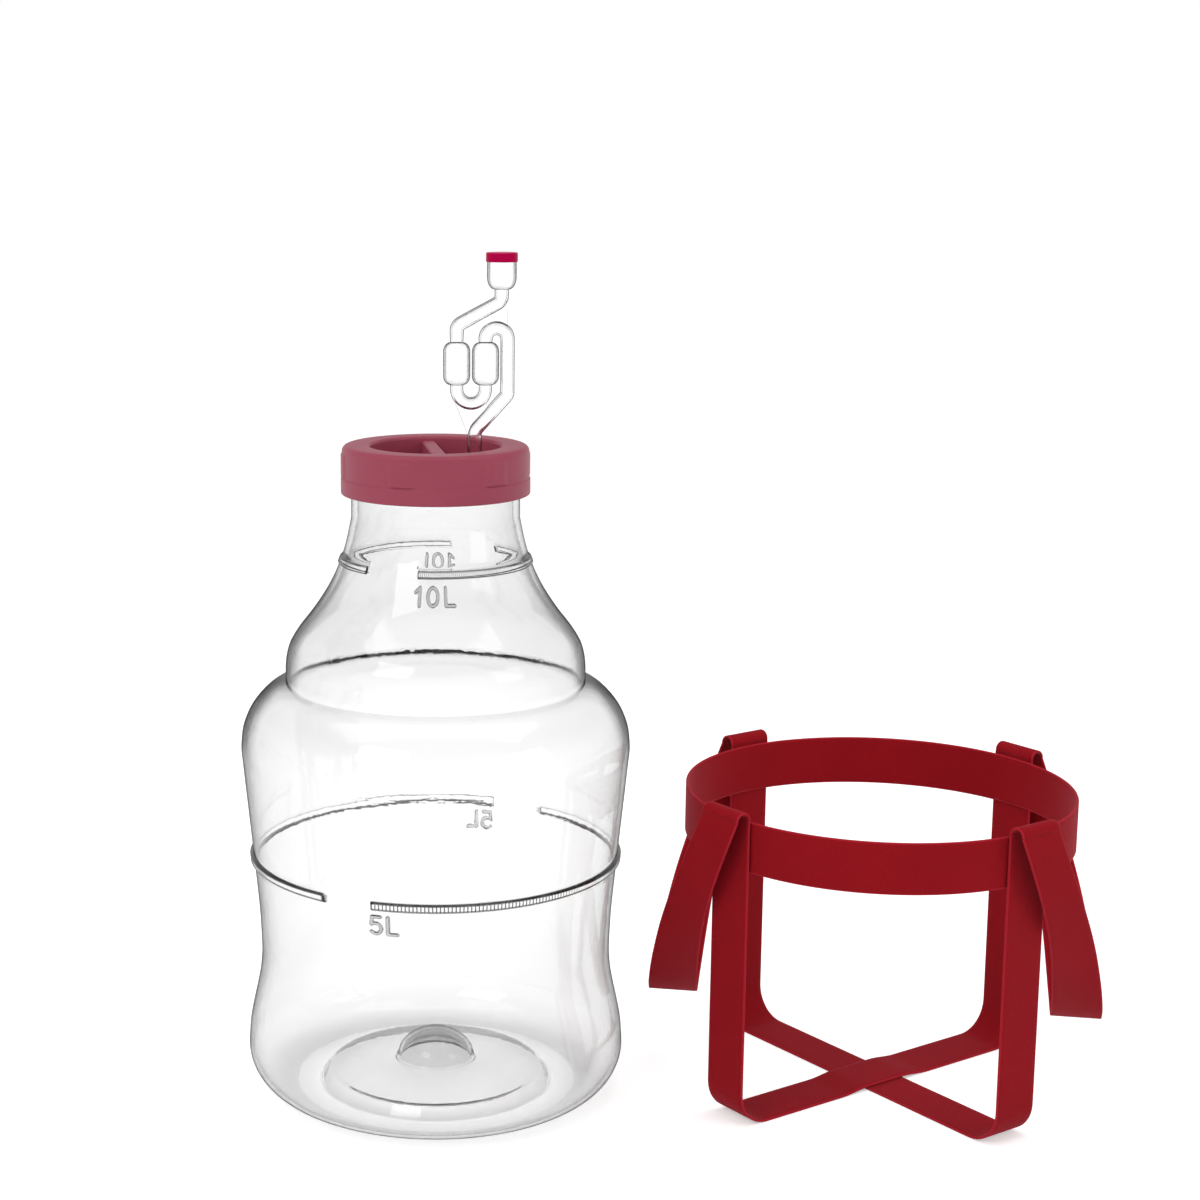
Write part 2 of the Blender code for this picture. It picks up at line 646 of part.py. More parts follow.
def lower_web_outline():
    """The web between the lower loop, the sloping riser and a free slanted edge."""
    within = NARROW_RADIUS - AIRLOCK_WALL / 2
    loop_round = (RIGHT_BULB_OFFSET - LEFT_BULB_OFFSET) / 2
    loop_centre = (LEFT_BULB_OFFSET + loop_round, LOOP_CENTRE_HEIGHT)
    loop_reach = loop_round + within
    outline = quarter_round(loop_centre, (loop_reach, loop_reach), 205, 315, 6)
    slope_start = (0, STEM_BEND_HEIGHT)
    slope_end = (RISER_OFFSET, RISER_BEND_HEIGHT)
    stem_within = STEM_RADIUS - AIRLOCK_WALL / 2
    for share in (0.55, 0.3):
        outline.append(tuple(beside_route(slope_start, slope_end, share, stem_within)))
    outline.append((-stem_within, STEM_BEND_HEIGHT - STEM_RADIUS))
    return outline


def make_airlock(material, parent):
    """Two halves, moulded apart and welded where they meet, with the flat webs between the tubes."""
    origin = (GROMMET_OFFSET, 0, AIRLOCK_BASE_HEIGHT)
    stations = airlock_stations()
    for name, side in (("airlock_front_half", -1), ("airlock_back_half", 1)):
        half = add_mesh(name, half_tube(stations, side), material, parent)
        half.location = origin
        for web_name, outline in (("upper_web", upper_web_outline()), ("lower_web", lower_web_outline())):
            web = add_mesh(f"{web_name}_of_{name}", web_plate(outline, side), material, parent)
            web.location = origin
            combine(half, web, "UNION")


def make_dust_cap(material, parent):
    inner = CUP_RADIUS + FIT_GAP
    outer = inner + DUST_CAP_WALL
    ceiling = AIRLOCK_BASE_HEIGHT + AIRLOCK_HEIGHT + FIT_GAP
    top = ceiling + DUST_CAP_TOP
    bottom = top - DUST_CAP_HEIGHT
    profile = [
        (0, ceiling),
        (inner, ceiling),
        (inner, bottom),
        (outer, bottom),
        (outer, top - DUST_CAP_WALL),
        (outer - DUST_CAP_WALL, top),
        (0, top),
    ]
    mesh = turned(profile, SMALL_FACETS, centre=(GROMMET_OFFSET + CUP_OFFSET, 0))
    return add_mesh("dust_cap", mesh, material, parent)


def ribbon(centres, across, closed=False):
    """Webbing of even width and thickness along its centres, with the direction of its width at each."""
    mesh = bmesh.new()
    count = len(centres)
    sections = []
    for index, centre in enumerate(centres):
        if closed:
            along = centres[(index + 1) % count] - centres[index - 1]
        else:
            along = centres[min(index + 1, count - 1)] - centres[max(index - 1, 0)]
        face = along.cross(across[index]).normalized() * (WEBBING_THICKNESS / 2)
        edge = across[index].normalized() * (WEBBING_WIDTH / 2)
        corners = (centre + edge + face, centre - edge + face, centre - edge - face, centre + edge - face)
        sections.append([mesh.verts.new(corner) for corner in corners])
    pairs = list(zip(sections, sections[1:]))
    if closed:
        pairs.append((sections[-1], sections[0]))
    else:
        mesh.faces.new(sections[0])
        mesh.faces.new(sections[-1][::-1])
    for first, second in pairs:
        for step in range(4):
            following = (step + 1) % 4
            mesh.faces.new((first[step], first[following], second[following], second[step]))
    return mesh


def make_hoop(material, parent):
    middle = HOOP_TOP_HEIGHT - WEBBING_WIDTH / 2
    centres = []
    for step in range(HOOP_FACETS):
        angle = 2 * pi * step / HOOP_FACETS
        centres.append(Vector((HOOP_RADIUS * cos(angle), HOOP_RADIUS * sin(angle), middle)))
    across = [Vector((0, 0, 1))] * HOOP_FACETS
    return add_mesh("hoop_band", ribbon(centres, across, closed=True), material, parent)


def base_strap(bearing_deg, lifted):
    """Centres of a strap that runs down one upright, across the base and up the opposite one."""
    outward = Vector((cos(radians(bearing_deg)), sin(radians(bearing_deg)), 0))
    bend_centre = (UPRIGHT_RADIUS - BASE_BEND_RADIUS, STRAP_REST_HEIGHT + BASE_BEND_RADIUS)
    bend = quarter_round(bend_centre, (BASE_BEND_RADIUS, BASE_BEND_RADIUS), 0, -90, STRAP_BEND_STEPS)
    half = [(UPRIGHT_RADIUS, FOLD_HEIGHT - FIT_GAP)] + bend
    if lifted:
        crest = STRAP_REST_HEIGHT + WEBBING_THICKNESS + FIT_GAP
        crest_half = WEBBING_WIDTH / 2 + FIT_GAP
        half.append((crest_half + RAMP_LENGTH, STRAP_REST_HEIGHT))
        half.append((crest_half + RAMP_LENGTH / 2, (STRAP_REST_HEIGHT + crest) / 2))
        half.append((crest_half, crest))
    centres = [outward * radius + Vector((0, 0, height)) for radius, height in half]
    centres += [outward * -radius + Vector((0, 0, height)) for radius, height in reversed(half)]
    return centres, [Vector((-outward.y, outward.x, 0))] * len(centres)


def fold_arc(bearing_deg):
    """Centres of the half turn by which an upright goes over into a handle."""
    outward = Vector((cos(radians(bearing_deg)), sin(radians(bearing_deg)), 0))
    arc = quarter_round((FOLD_AXIS_RADIUS, FOLD_HEIGHT), (FOLD_RADIUS, FOLD_RADIUS), 180, 0, FOLD_STEPS)
    centres = [outward * radius + Vector((0, 0, height)) for radius, height in arc]
    return centres, [Vector((-outward.y, outward.x, 0))] * len(centres)


def blended(shares, position):
    """A smooth curve through a table of shares, read at a position from 0 to 1."""
    spans = len(shares) - 1
    index = min(int(position * spans), spans - 1)
    local = position * spans - index
    before = Vector(shares[max(index - 1, 0)])
    start = Vector(shares[index])
    end = Vector(shares[index + 1])
    after = Vector(shares[min(index + 2, spans)])
    leaving = (end - before) / 2
    arriving = (after - start) / 2
    square = local * local
    cube = square * local
    return (
        start * (2 * cube - 3 * square + 1)
        + leaving * (cube - 2 * square + local)
        + end * (3 * square - 2 * cube)
        + arriving * (cube - square)
    )


def handle_loop(side):
    """Centres of a handle that hangs from the folds on one side, -1 for left and +1 for right."""
    start_reach = (FOLD_AXIS_RADIUS + FOLD_RADIUS) * cos(pi / 4)
    drop = FOLD_HEIGHT - FIT_GAP - HANDLE_BOTTOM_HEIGHT
    half = []
    for step in range(HANDLE_STEPS + 1):
        fall, back, out = blended(HANDLE_SHARES, step / HANDLE_STEPS)
        turn = pi / 4 * (1 - fall * fall)
        centre = Vector((
            side * (start_reach + (HANDLE_REACH - start_reach) * out),
            -start_reach * back,
            FOLD_HEIGHT - FIT_GAP - drop * fall,
        ))
        half.append((centre, Vector((cos(turn), side * sin(turn), 0))))
    centres = [centre for centre, _ in half]
    across = [direction for _, direction in half]
    for centre, direction in reversed(half[:-1]):
        centres.append(Vector((centre.x, -centre.y, centre.z)))
        across.append(Vector((direction.x, -direction.y, 0)))
    return centres, across


def make_harness(material, parent):
    make_hoop(material, parent)
    for name, bearing, lifted in (
        ("strap_front_left_to_back_right", 45, True),
        ("strap_front_right_to_back_left", 135, False),
    ):
        add_mesh(name, ribbon(*base_strap(bearing, lifted)), material, parent)
    for name, bearing in (
        ("fold_back_right", 45),
        ("fold_back_left", 135),
        ("fold_front_left", 225),
        ("fold_front_right", 315),
    ):
        add_mesh(name, ribbon(*fold_arc(bearing)), material, parent)
    axis_reach = FOLD_AXIS_RADIUS * cos(pi / 4)
    for name, side in (("handle_left", -1), ("handle_right", 1)):
        hinge = add_empty(f"{name}_hinge", (side * axis_reach, 0, FOLD_HEIGHT), parent=parent)
        handle = add_mesh(name, ribbon(*handle_loop(side)), material, hinge)
        handle.location = (-side * axis_reach, 0, -FOLD_HEIGHT)


def centre_footprint(roots):
    """Moves the roots so that the origin is in the middle of the footprint."""
    bpy.context.view_layer.update()
    corners = []
    for item in bpy.data.objects:
        if item.type == "MESH" and not item.hide_render:
            corners += [item.matrix_world @ vertex.co for vertex in item.data.vertices]
    for axis in (0, 1):
        middle = (min(corner[axis] for corner in corners) + max(corner[axis] for corner in corners)) / 2
        for root in roots:
            root.location[axis] -= middle


def main():
    clear_scene()
    clear_plastic = plastic("clear_bottle", (0.93, 0.94, 0.94), 0.08, alpha=0.3)
    clear_tube = plastic("clear_airlock", (0.93, 0.95, 0.95), 0.10, alpha=0.35)
    burgundy = plastic("burgundy_cap", (0.33, 0.06, 0.10), 0.45)
    white_rubber = plastic("white_rubber", (0.86, 0.86, 0.84), 0.55)
    magenta = plastic("magenta_dust_cap", (0.43, 0.0, 0.07), 0.35)
    webbing = plastic("red_webbing", (0.28, 0.01, 0.02), 0.75)

    bottle_root = add_empty("bottle_axis")
    harness_root = add_empty("harness_axis", (HARNESS_DISTANCE, 0, 0), HARNESS_TURN_DEG)
    make_bottle(clear_plastic, bottle_root)
    make_cap(burgundy, bottle_root)
    make_cap_seal(white_rubber, bottle_root)
    make_grommet(white_rubber, bottle_root)
    make_airlock(clear_tube, bottle_root)
    make_dust_cap(magenta, bottle_root)
    make_harness(webbing, harness_root)
    centre_footprint((bottle_root, harness_root))


main()
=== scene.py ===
from math import acos, atan2, cos, degrees, pi, radians, sin, tan

import bmesh
import bpy
import numpy as np
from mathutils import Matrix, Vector


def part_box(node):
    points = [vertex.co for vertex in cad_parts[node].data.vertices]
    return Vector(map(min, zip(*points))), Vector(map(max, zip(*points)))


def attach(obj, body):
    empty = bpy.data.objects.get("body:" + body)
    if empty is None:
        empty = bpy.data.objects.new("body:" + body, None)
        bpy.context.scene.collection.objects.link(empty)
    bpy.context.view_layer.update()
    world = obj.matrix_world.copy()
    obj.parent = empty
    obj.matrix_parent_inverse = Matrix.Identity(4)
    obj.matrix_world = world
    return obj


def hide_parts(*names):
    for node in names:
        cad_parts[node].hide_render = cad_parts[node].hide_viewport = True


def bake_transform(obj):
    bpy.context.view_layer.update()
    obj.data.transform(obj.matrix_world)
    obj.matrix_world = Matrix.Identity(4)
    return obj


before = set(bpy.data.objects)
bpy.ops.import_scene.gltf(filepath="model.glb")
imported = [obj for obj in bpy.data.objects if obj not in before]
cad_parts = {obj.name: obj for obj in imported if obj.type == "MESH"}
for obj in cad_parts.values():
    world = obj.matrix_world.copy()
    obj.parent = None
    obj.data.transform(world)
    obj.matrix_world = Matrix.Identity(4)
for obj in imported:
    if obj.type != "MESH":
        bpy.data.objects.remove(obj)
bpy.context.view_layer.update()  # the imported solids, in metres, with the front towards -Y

print("frame loaded with", len(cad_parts), "nodes")


# Small helpers for outlines

def middleOf(node):
    low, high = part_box(node)
    return (low + high) / 2


# Points of an elliptical arc, both centre and radii as (across, height)
def arcPoints(centre, radii, startDeg, endDeg, steps):
    points = []
    for step in range(steps + 1):
        angle = radians(startDeg + (endDeg - startDeg) * step / steps)
        points.append((centre[0] + radii[0] * cos(angle), centre[1] + radii[1] * sin(angle)))
    return points


def turnedBy(arm, angle):
    across = arm.x * cos(angle) - arm.y * sin(angle)
    return Vector((across, arm.x * sin(angle) + arm.y * cos(angle)))


# A polyline of (across, height, rounding) corners with each corner rounded
def roundedPath(corners, steps=5):
    points = [Vector(corners[0][:2])]
    for before, (across, height, rounding), after in zip(corners, corners[1:], corners[2:]):
        corner = Vector((across, height))
        if rounding == 0:
            points.append(corner)
            continue
        toward = (Vector(before[:2]) - corner).normalized()
        onward = (Vector(after[:2]) - corner).normalized()
        half = toward.angle(onward) / 2
        centre = corner + (toward + onward).normalized() * (rounding / sin(half))
        start = corner + toward * (rounding / tan(half)) - centre
        end = corner + onward * (rounding / tan(half)) - centre
        turn = atan2(start.cross(end), start.dot(end))
        for step in range(steps + 1):
            angle = turn * step / steps
            points.append(centre + turnedBy(start, angle))
    points.append(Vector(corners[-1][:2]))
    return [tuple(point) for point in points]


# Extra points on the long runs of an outline
def divided(points, longest):
    result = [points[0]]
    for start, end in zip(points, points[1:]):
        count = max(1, int(np.ceil((Vector(end) - Vector(start)).length / longest)))
        for step in range(1, count + 1):
            result.append(tuple(Vector(start).lerp(Vector(end), step / count)))
    return result


# Between two values with the changes at both given, for a share from 0 to 1
def eased(start, leaving, end, arriving, share):
    square, cube = share ** 2, share ** 3
    return (
        start * (2 * cube - 3 * square + 1)
        + leaving * (cube - 2 * square + share)
        + end * (3 * square - 2 * cube)
        + arriving * (cube - square)
    )


# A smooth curve through (position, value) points that never overshoots between them
def smoothThrough(points, positions):
    xs = np.array([point[0] for point in points])
    ys = np.array([point[1] for point in points])
    spans = np.diff(xs)
    slopes = np.diff(ys) / spans
    tangents = np.zeros(len(xs))
    tangents[0] = slopes[0]
    tangents[-1] = slopes[-1]
    for index in range(1, len(xs) - 1):
        before, after = slopes[index - 1], slopes[index]
        if before * after > 0:
            first = 2 * spans[index] + spans[index - 1]
            second = spans[index] + 2 * spans[index - 1]
            tangents[index] = (first + second) / (first / before + second / after)
    where = np.clip(np.searchsorted(xs, positions, side="right") - 1, 0, len(spans) - 1)
    span = spans[where]
    leaving, arriving = tangents[where] * span, tangents[where + 1] * span
    return eased(ys[where], leaving, ys[where + 1], arriving, (positions - xs[where]) / span)


def softStep(value):
    clipped = np.clip(value, 0.0, 1.0)
    return clipped * clipped * (3 - 2 * clipped)


def evenSteps(low, high, longest):
    return list(np.linspace(low, high, max(2, int(np.ceil((high - low) / longest)) + 1)))


# Sorted positions without near doubles
def thinned(positions, least):
    kept = []
    for position in sorted(positions):
        if not kept or position - kept[-1] > least:
            kept.append(position)
    return np.array(kept)


# Small helpers for meshes

def linked(name, data):
    item = bpy.data.objects.new(name, data)
    bpy.context.scene.collection.objects.link(item)
    return item


def smoothed(mesh, sharpDeg):
    mesh.shade_smooth()
    mesh.set_sharp_from_angle(angle=radians(sharpDeg))


def addObject(name, mesh, material, sharpDeg):
    mesh.materials.append(material)
    smoothed(mesh, sharpDeg)
    return linked(name, mesh)


def gridFaces(rowCount, columnCount, wrapRows=False, wrapColumns=True):
    rows = np.arange(rowCount if wrapRows else rowCount - 1)
    columns = np.arange(columnCount if wrapColumns else columnCount - 1)
    row, column = np.meshgrid(rows, columns, indexing="ij")
    nextRow = (row + 1) % rowCount
    nextColumn = (column + 1) % columnCount
    corners = (
        row * columnCount + column,
        row * columnCount + nextColumn,
        nextRow * columnCount + nextColumn,
        nextRow * columnCount + column,
    )
    return np.stack(corners, axis=-1).reshape(-1, 4).tolist()


def closeMesh(mesh, mergeDistance=1e-6):
    work = bmesh.new()
    work.from_mesh(mesh)
    bmesh.ops.remove_doubles(work, verts=work.verts, dist=mergeDistance)
    bmesh.ops.recalc_face_normals(work, faces=work.faces)
    work.to_mesh(mesh)
    work.free()


# A turned body from (radius, height) rows, with relief added to the radius.
# Turns are in degrees from the front, towards +X.
def lathe(name, profile, turns, centre, material, relief=0.0, sharpDeg=40, masks=None):
    radii = np.array([row[0] for row in profile])[:, None] + relief
    heights = np.array([row[1] for row in profile])[:, None] + np.zeros((1, len(turns)))
    angles = np.radians(turns)[None, :]
    sides = (centre.x + radii * np.sin(angles), centre.y - radii * np.cos(angles), heights)
    points = np.stack(sides, axis=-1)
    wrapped = profile[0][0] > 0
    mesh = bpy.data.meshes.new(name)
    faces = gridFaces(len(profile), len(turns), wrapRows=wrapped)
    mesh.from_pydata(points.reshape(-1, 3).tolist(), [], faces)
    for maskName, values in (masks or {}).items():
        layer = mesh.attributes.new(maskName, "FLOAT", "POINT")
        spread = np.broadcast_to(values, radii.shape).astype(np.float32)
        layer.data.foreach_set("value", spread.ravel())
    closeMesh(mesh)
    return addObject(name, mesh, material, sharpDeg)


def roundTurns(count):
    return np.arange(count) * 360 / count


# Turns counted from another one, from -180 to 180
def turnsFrom(start, turns):
    return (turns - start + 180) % 360 - 180


# Unites or cuts with a helper object, which is then gone
def combined(item, other, operation):
    modifier = item.modifiers.new(other.name, "BOOLEAN")
    modifier.operation = operation
    modifier.object = other
    modifier.solver = "EXACT"
    evaluated = item.evaluated_get(bpy.context.evaluated_depsgraph_get())
    joined = bpy.data.meshes.new_from_object(evaluated)
    item.modifiers.clear()
    item.data = joined
    bpy.data.objects.remove(other, do_unlink=True)
    return item


# Small helpers for materials

# Sets a node's inputs, and links those whose value is another node's output
def feed(tree, node, values):
    for socket, value in values.items():
        if isinstance(value, bpy.types.NodeSocket):
            tree.links.new(value, node.inputs[socket])
        elif value is not None:
            node.inputs[socket].default_value = value
    return node


def startMaterial(name, values):
    material = bpy.data.materials.new(name)
    material.use_nodes = True
    tree = material.node_tree
    return material, tree, feed(tree, tree.nodes["Principled BSDF"], values)


def addNode(tree, kind, values=None, **settings):
    node = tree.nodes.new(kind)
    for setting, value in settings.items():
        setattr(node, setting, value)
    return feed(tree, node, values or {})


def mathNode(tree, operation, first, second=None):
    return addNode(tree, "ShaderNodeMath", {0: first, 1: second}, operation=operation).outputs[0]


def mixColours(tree, mask, first, second):
    values = {0: mask, 6: first, 7: second}
    return addNode(tree, "ShaderNodeMix", values, data_type="RGBA").outputs[2]


def bumpNode(tree, height, strength, distance):
    values = {"Strength": strength, "Distance": distance, "Height": height}
    return addNode(tree, "ShaderNodeBump", values).outputs["Normal"]


def noiseNode(tree, vector, scale, detail=2.0, roughness=0.5):
    values = {"Vector": vector, "Scale": scale, "Detail": detail, "Roughness": roughness}
    return addNode(tree, "ShaderNodeTexNoise", values).outputs["Fac"]


def grey(value):
    return (value,) * 3 + (1,)


def multiplied(tree, first, second):
    return mathNode(tree, "MULTIPLY", first, second)


def largest(tree, first, *others):
    for other in others:
        first = mathNode(tree, "MAXIMUM", first, other)
    return first


# A ramp of greys, or of plain numbers, from (position, value) stops
def greyRamp(tree, stops, source):
    node = addNode(tree, "ShaderNodeValToRGB", {"Fac": source})
    ramp = node.color_ramp
    for element, (position, value) in zip(ramp.elements, (stops[0], stops[-1])):
        element.position, element.color = position, grey(value)
    for position, value in stops[1:-1]:
        ramp.elements.new(position).color = grey(value)
    return node.outputs["Color"]


# Fine moulding grain over a piece's own coordinates: a height and a slow change of tone
def buildMouldGrain():
    group = bpy.data.node_groups.new("mouldGrain", "ShaderNodeTree")
    for socket, start in (("GrainScale", 900.0), ("PatchScale", 14.0), ("PatchSpread", 0.5)):
        made = group.interface.new_socket(socket, in_out="INPUT", socket_type="NodeSocketFloat")
        made.default_value = start
    for socket in ("Height", "Patch"):
        group.interface.new_socket(socket, in_out="OUTPUT", socket_type="NodeSocketFloat")
    entry = addNode(group, "NodeGroupInput").outputs
    place = addNode(group, "ShaderNodeTexCoord").outputs["Object"]
    grain = noiseNode(group, place, entry["GrainScale"], 3.0, 0.6)
    patch = noiseNode(group, place, entry["PatchScale"])
    spread = multiplied(group, mathNode(group, "SUBTRACT", patch, 0.5), entry["PatchSpread"])
    tone = mathNode(group, "ADD", spread, 0.5)
    addNode(group, "NodeGroupOutput", {"Height": grain, "Patch": tone})
    return group


mouldGrain = buildMouldGrain()


def placeGrain(tree, values):
    return addNode(tree, "ShaderNodeGroup", values, node_tree=mouldGrain).outputs


def attributeValue(tree, name):
    return addNode(tree, "ShaderNodeAttribute", attribute_name=name).outputs["Fac"]


# Painted shade where the wall bends: ring edges, figures, dark lines standing for fine ridges on the
# rings, the groove seen from inside, the foot's step and the dome
def paintedMarkShade(tree, look):
    aroundSine = attributeValue(tree, "aroundSine")
    sideways = multiplied(tree, mathNode(tree, "ABSOLUTE", aroundSine), 1.0 - look["creaseMiddle"])
    sideways = mathNode(tree, "ADD", sideways, look["creaseMiddle"])
    fromInside = addNode(tree, "ShaderNodeNewGeometry").outputs["Backfacing"]
    fromOutside = mathNode(tree, "SUBTRACT", 1.0, fromInside)
    crease = multiplied(tree, attributeValue(tree, "crease"), sideways)
    step = multiplied(tree, attributeValue(tree, "step"), fromOutside)
    around = mathNode(tree, "ARCTAN2", aroundSine, attributeValue(tree, "aroundCosine"))
    wave = mathNode(tree, "SINE", multiplied(tree, around, look["ridgeCount"]))
    ridges = multiplied(tree, largest(tree, wave, 0.0), attributeValue(tree, "band"))
    return largest(
        tree,
        attributeValue(tree, "steep"),
        multiplied(tree, ridges, look["ridgeShade"]),
        multiplied(tree, attributeValue(tree, "stroke"), look["strokeShade"]),
        step,
        multiplied(tree, attributeValue(tree, "dome"), look["domeShade"]),
        multiplied(tree, crease, fromInside),
    )


# The bottle's tint and skin, both painted shade: darker edge on round the bell, plain under the foot and
# at the groove's front, with the marks' painted shade on top
def bottleShades(tree, look, facing, tint, skin):
    bell, calm = attributeValue(tree, "bell"), attributeValue(tree, "calm")
    tint = mixColours(tree, bell, tint, greyRamp(tree, look["bellShadeTones"], facing))
    tint = mixColours(tree, calm, tint, grey(look["edgeShadeTones"][0][1]))
    tint = mixColours(tree, paintedMarkShade(tree, look), tint, grey(look["markShadeTone"]))
    skin = mixColours(tree, bell, skin, greyRamp(tree, look["bellShadeWeights"], facing))
    return tint, multiplied(tree, skin, mathNode(tree, "SUBTRACT", 1.0, calm))


# The airlock's tint: its bore stays clear of the painted edge shade, and the webs' free edges are drawn as
# thin lines of painted shade
def airlockTint(tree, look, tint):
    tint = mixColours(tree, attributeValue(tree, "bore"), tint, grey(look["edgeShadeTones"][0][1]))
    return mixColours(tree, attributeValue(tree, "webEdge"), tint, grey(look["markShadeTone"]))


# Clear plastic: nearly white in the middle of a wall, with painted shade making it grey where it is seen
# edge on
def makeClearPlastic(name, look, isBottle):
    material, tree, shader = startMaterial(name, {
        "Roughness": look["roughness"],
        "IOR": look["ior"],
        "Transmission Weight": 1.0,
        "Coat Roughness": look["roughness"],
        "Coat IOR": 1.0,
        "Coat Tint": grey(look["skinShadeTint"]),
    })
    facing = addNode(tree, "ShaderNodeLayerWeight", {"Blend": 0.5}).outputs["Facing"]
    tint = greyRamp(tree, look["edgeShadeTones"], facing)
    skin = greyRamp(tree, look["skinShadeWeights"], facing)
    if isBottle:
        tint, skin = bottleShades(tree, look, facing, tint, skin)
    else:
        tint = airlockTint(tree, look, tint)
    lightPath = addNode(tree, "ShaderNodeLightPath").outputs
    shade = multiplied(tree, lightPath["Is Shadow Ray"], look["lightLetThrough"])
    scale = look["waveScale"]
    height = placeGrain(tree, {"GrainScale": scale, "PatchScale": scale / 3})["Height"]
    feed(tree, shader, {
        "Base Color": tint,
        "Coat Weight": skin,
        "Alpha": mathNode(tree, "SUBTRACT", 1.0, shade),
        "Normal": bumpNode(tree, height, look["waveStrength"], look["waveDepth"]),
    })
    return material


# Moulded plastic or rubber with fine grain
def makeMoulded(name, look):
    material, tree, shader = startMaterial(name, look["shader"])
    grain = placeGrain(tree, {
        "GrainScale": look["grainScale"],
        "PatchScale": look["patchScale"],
        "PatchSpread": look["patchSpread"],
    })
    low, high = look["roughness"]
    tones = (*look["darkTone"], 1), (*look["lightTone"], 1)
    feed(tree, shader, {
        "Base Color": mixColours(tree, grain["Patch"], *tones),
        "Roughness": mathNode(tree, "ADD", multiplied(tree, grain["Patch"], high - low), low),
        "Normal": bumpNode(tree, grain["Height"], look["grainStrength"], look["grainDepth"]),
    })
    return material


# Bottle

bottleSizes = {
    "footInner": 0.069,
    "footOuter": 0.084,
    "puntStepRise": 0.008,
    "puntStepWidth": 0.006,
    "puntFloor": 0.0125,
    "domeRadius": 0.0212,
    "domeRise": 0.0175,
    "domeEndDeg": 10.0,
    "domeFoot": 0.002,
    "puntStepRound": 0.004,
    "footRound": 0.003,
    "belly": (0.1126, 0.027),
    "waist": (0.1042, 0.086),
    "shoulder": (0.1147, 0.210),
    "groove": (0.0881, 0.2485),
    "neckRadius": 0.049,
    "neckLength": 0.037,
    "bodyWall": 0.0018,
    "grooveWall": 0.0011,
    "neckWall": 0.0036,
    "rimRound": 0.001,
    "beadDrop": 0.0163,
    "beadRise": 0.0029,
    "beadHeight": 0.0045,
    "waistShares": ((0.138, 0.055), (0.477, 0.40), (0.742, 0.705), (0.86, 0.843), (0.939, 0.933)),
    "shoulderShares": ((0.184, 0.019), (0.29, 0.042), (0.397, 0.09), (0.506, 0.154), (0.605, 0.233),
                       (0.714, 0.35), (0.813, 0.479), (0.914, 0.662), (0.969, 0.835)),
    "bellShares": ((0.077, 0.0), (0.149, 0.013), (0.228, 0.061), (0.26, 0.10), (0.329, 0.21),
                   (0.409, 0.366), (0.497, 0.522), (0.594, 0.669), (0.682, 0.775), (0.841, 0.913)),
    "rowStep": 0.0024,
    "fineStep": 0.0004,
    "innerStep": 0.0006,
    "neckGap": 0.001,
    "neckStep": 0.002,
    "threadStep": 0.00032,
    "creaseSpan": 0.006,
    "creaseStep": 0.0005,
    "turnStep": 2.25,
    "fineTurnStep": 0.3,
    "fineTurns": (-23.0, 13.0),
    "cornerSteps": 22,
    "sharpDeg": 50,
}

# Raised volume marks: rings in two arcs, with figures on the front and again at the back
volumeMarks = {
    "rings": (
        {"height": 0.1441, "thickness": 0.0054, "rise": 0.0021, "ridged": 1.0,
         "gaps": ((-34.7, -19.5), (142.5, 159.5))},
        {"height": 0.3217, "thickness": 0.0045, "rise": 0.0012, "ridged": 0.8,
         "gaps": ((-44.0, -10.5), (136.0, 169.5))},
    ),
    "ringEdge": 0.2,
    "endTaperDeg": 0.5,
    "figures": (
        {"text": "5L", "foot": 0.127, "height": 0.0116, "radius": 0.1055,
         "startDeg": -20.1, "endDeg": -11.0},
        {"text": "10L", "foot": 0.3049, "height": 0.0109, "radius": 0.062,
         "startDeg": -11.6, "endDeg": 10.6},
    ),
    "stroke": 0.0015,
    "strokeRise": 0.0009,
    "strokeEdge": 0.00035,
    "innerShare": 0.85,
    "figureRoom": 0.0006,
    "ringRoom": 0.0003,
    # Where painted shade goes: dark lines for the rings' fine ridges between these turns, at each ring's
    # ridged share; below, steep relief, the foot's step and the groove, with calmReach keeping the
    # groove's front plain
    "ridgedTurns": ((-21.0, 2.0), (62.0, 30.0)),  # start and end, each with its fade
    "steepSlope": 1.1,
    "steepRadius": 0.1,
    "leastRise": 1e-5,
    "stepRoom": (0.0015, 0.0005),
    "creaseReach": 0.0013,
    "calmReach": 0.006,
    # Rows where the bell's darker painted edge shade fades in and out
    "bellHeights": (0.200, 0.225, 0.295, 0.330),
}

# Strokes of each figure as shares of its height, and its width
figureStrokes = {
    "0": (0.62, [arcPoints((0.31, 0.5), (0.31, 0.5), 90, 450, 24)]),
    "1": (0.30, [[(0.0, 0.74), (0.28, 1.0), (0.28, 0.0)]]),
    "5": (0.60, [[(0.56, 1.0), (0.10, 1.0), (0.05, 0.53)]
                 + arcPoints((0.29, 0.31), (0.31, 0.31), 118, -140, 16)]),
    "L": (0.52, [[(0.0, 1.0), (0.0, 0.0), (0.52, 0.0)]]),
}

neckThread = {
    "starts": 6,
    "firstDeg": -21.0,
    "spanDeg": 47.0,
    "lowHeight": 0.3715,
    "highHeight": 0.3748,
    "thickness": 0.0021,
    "rise": 0.0015,
    "taperDeg": 3.5,
    "taperStart": 0.2,
    "leadDeg": 10,
    "fullness": 0.6,
}

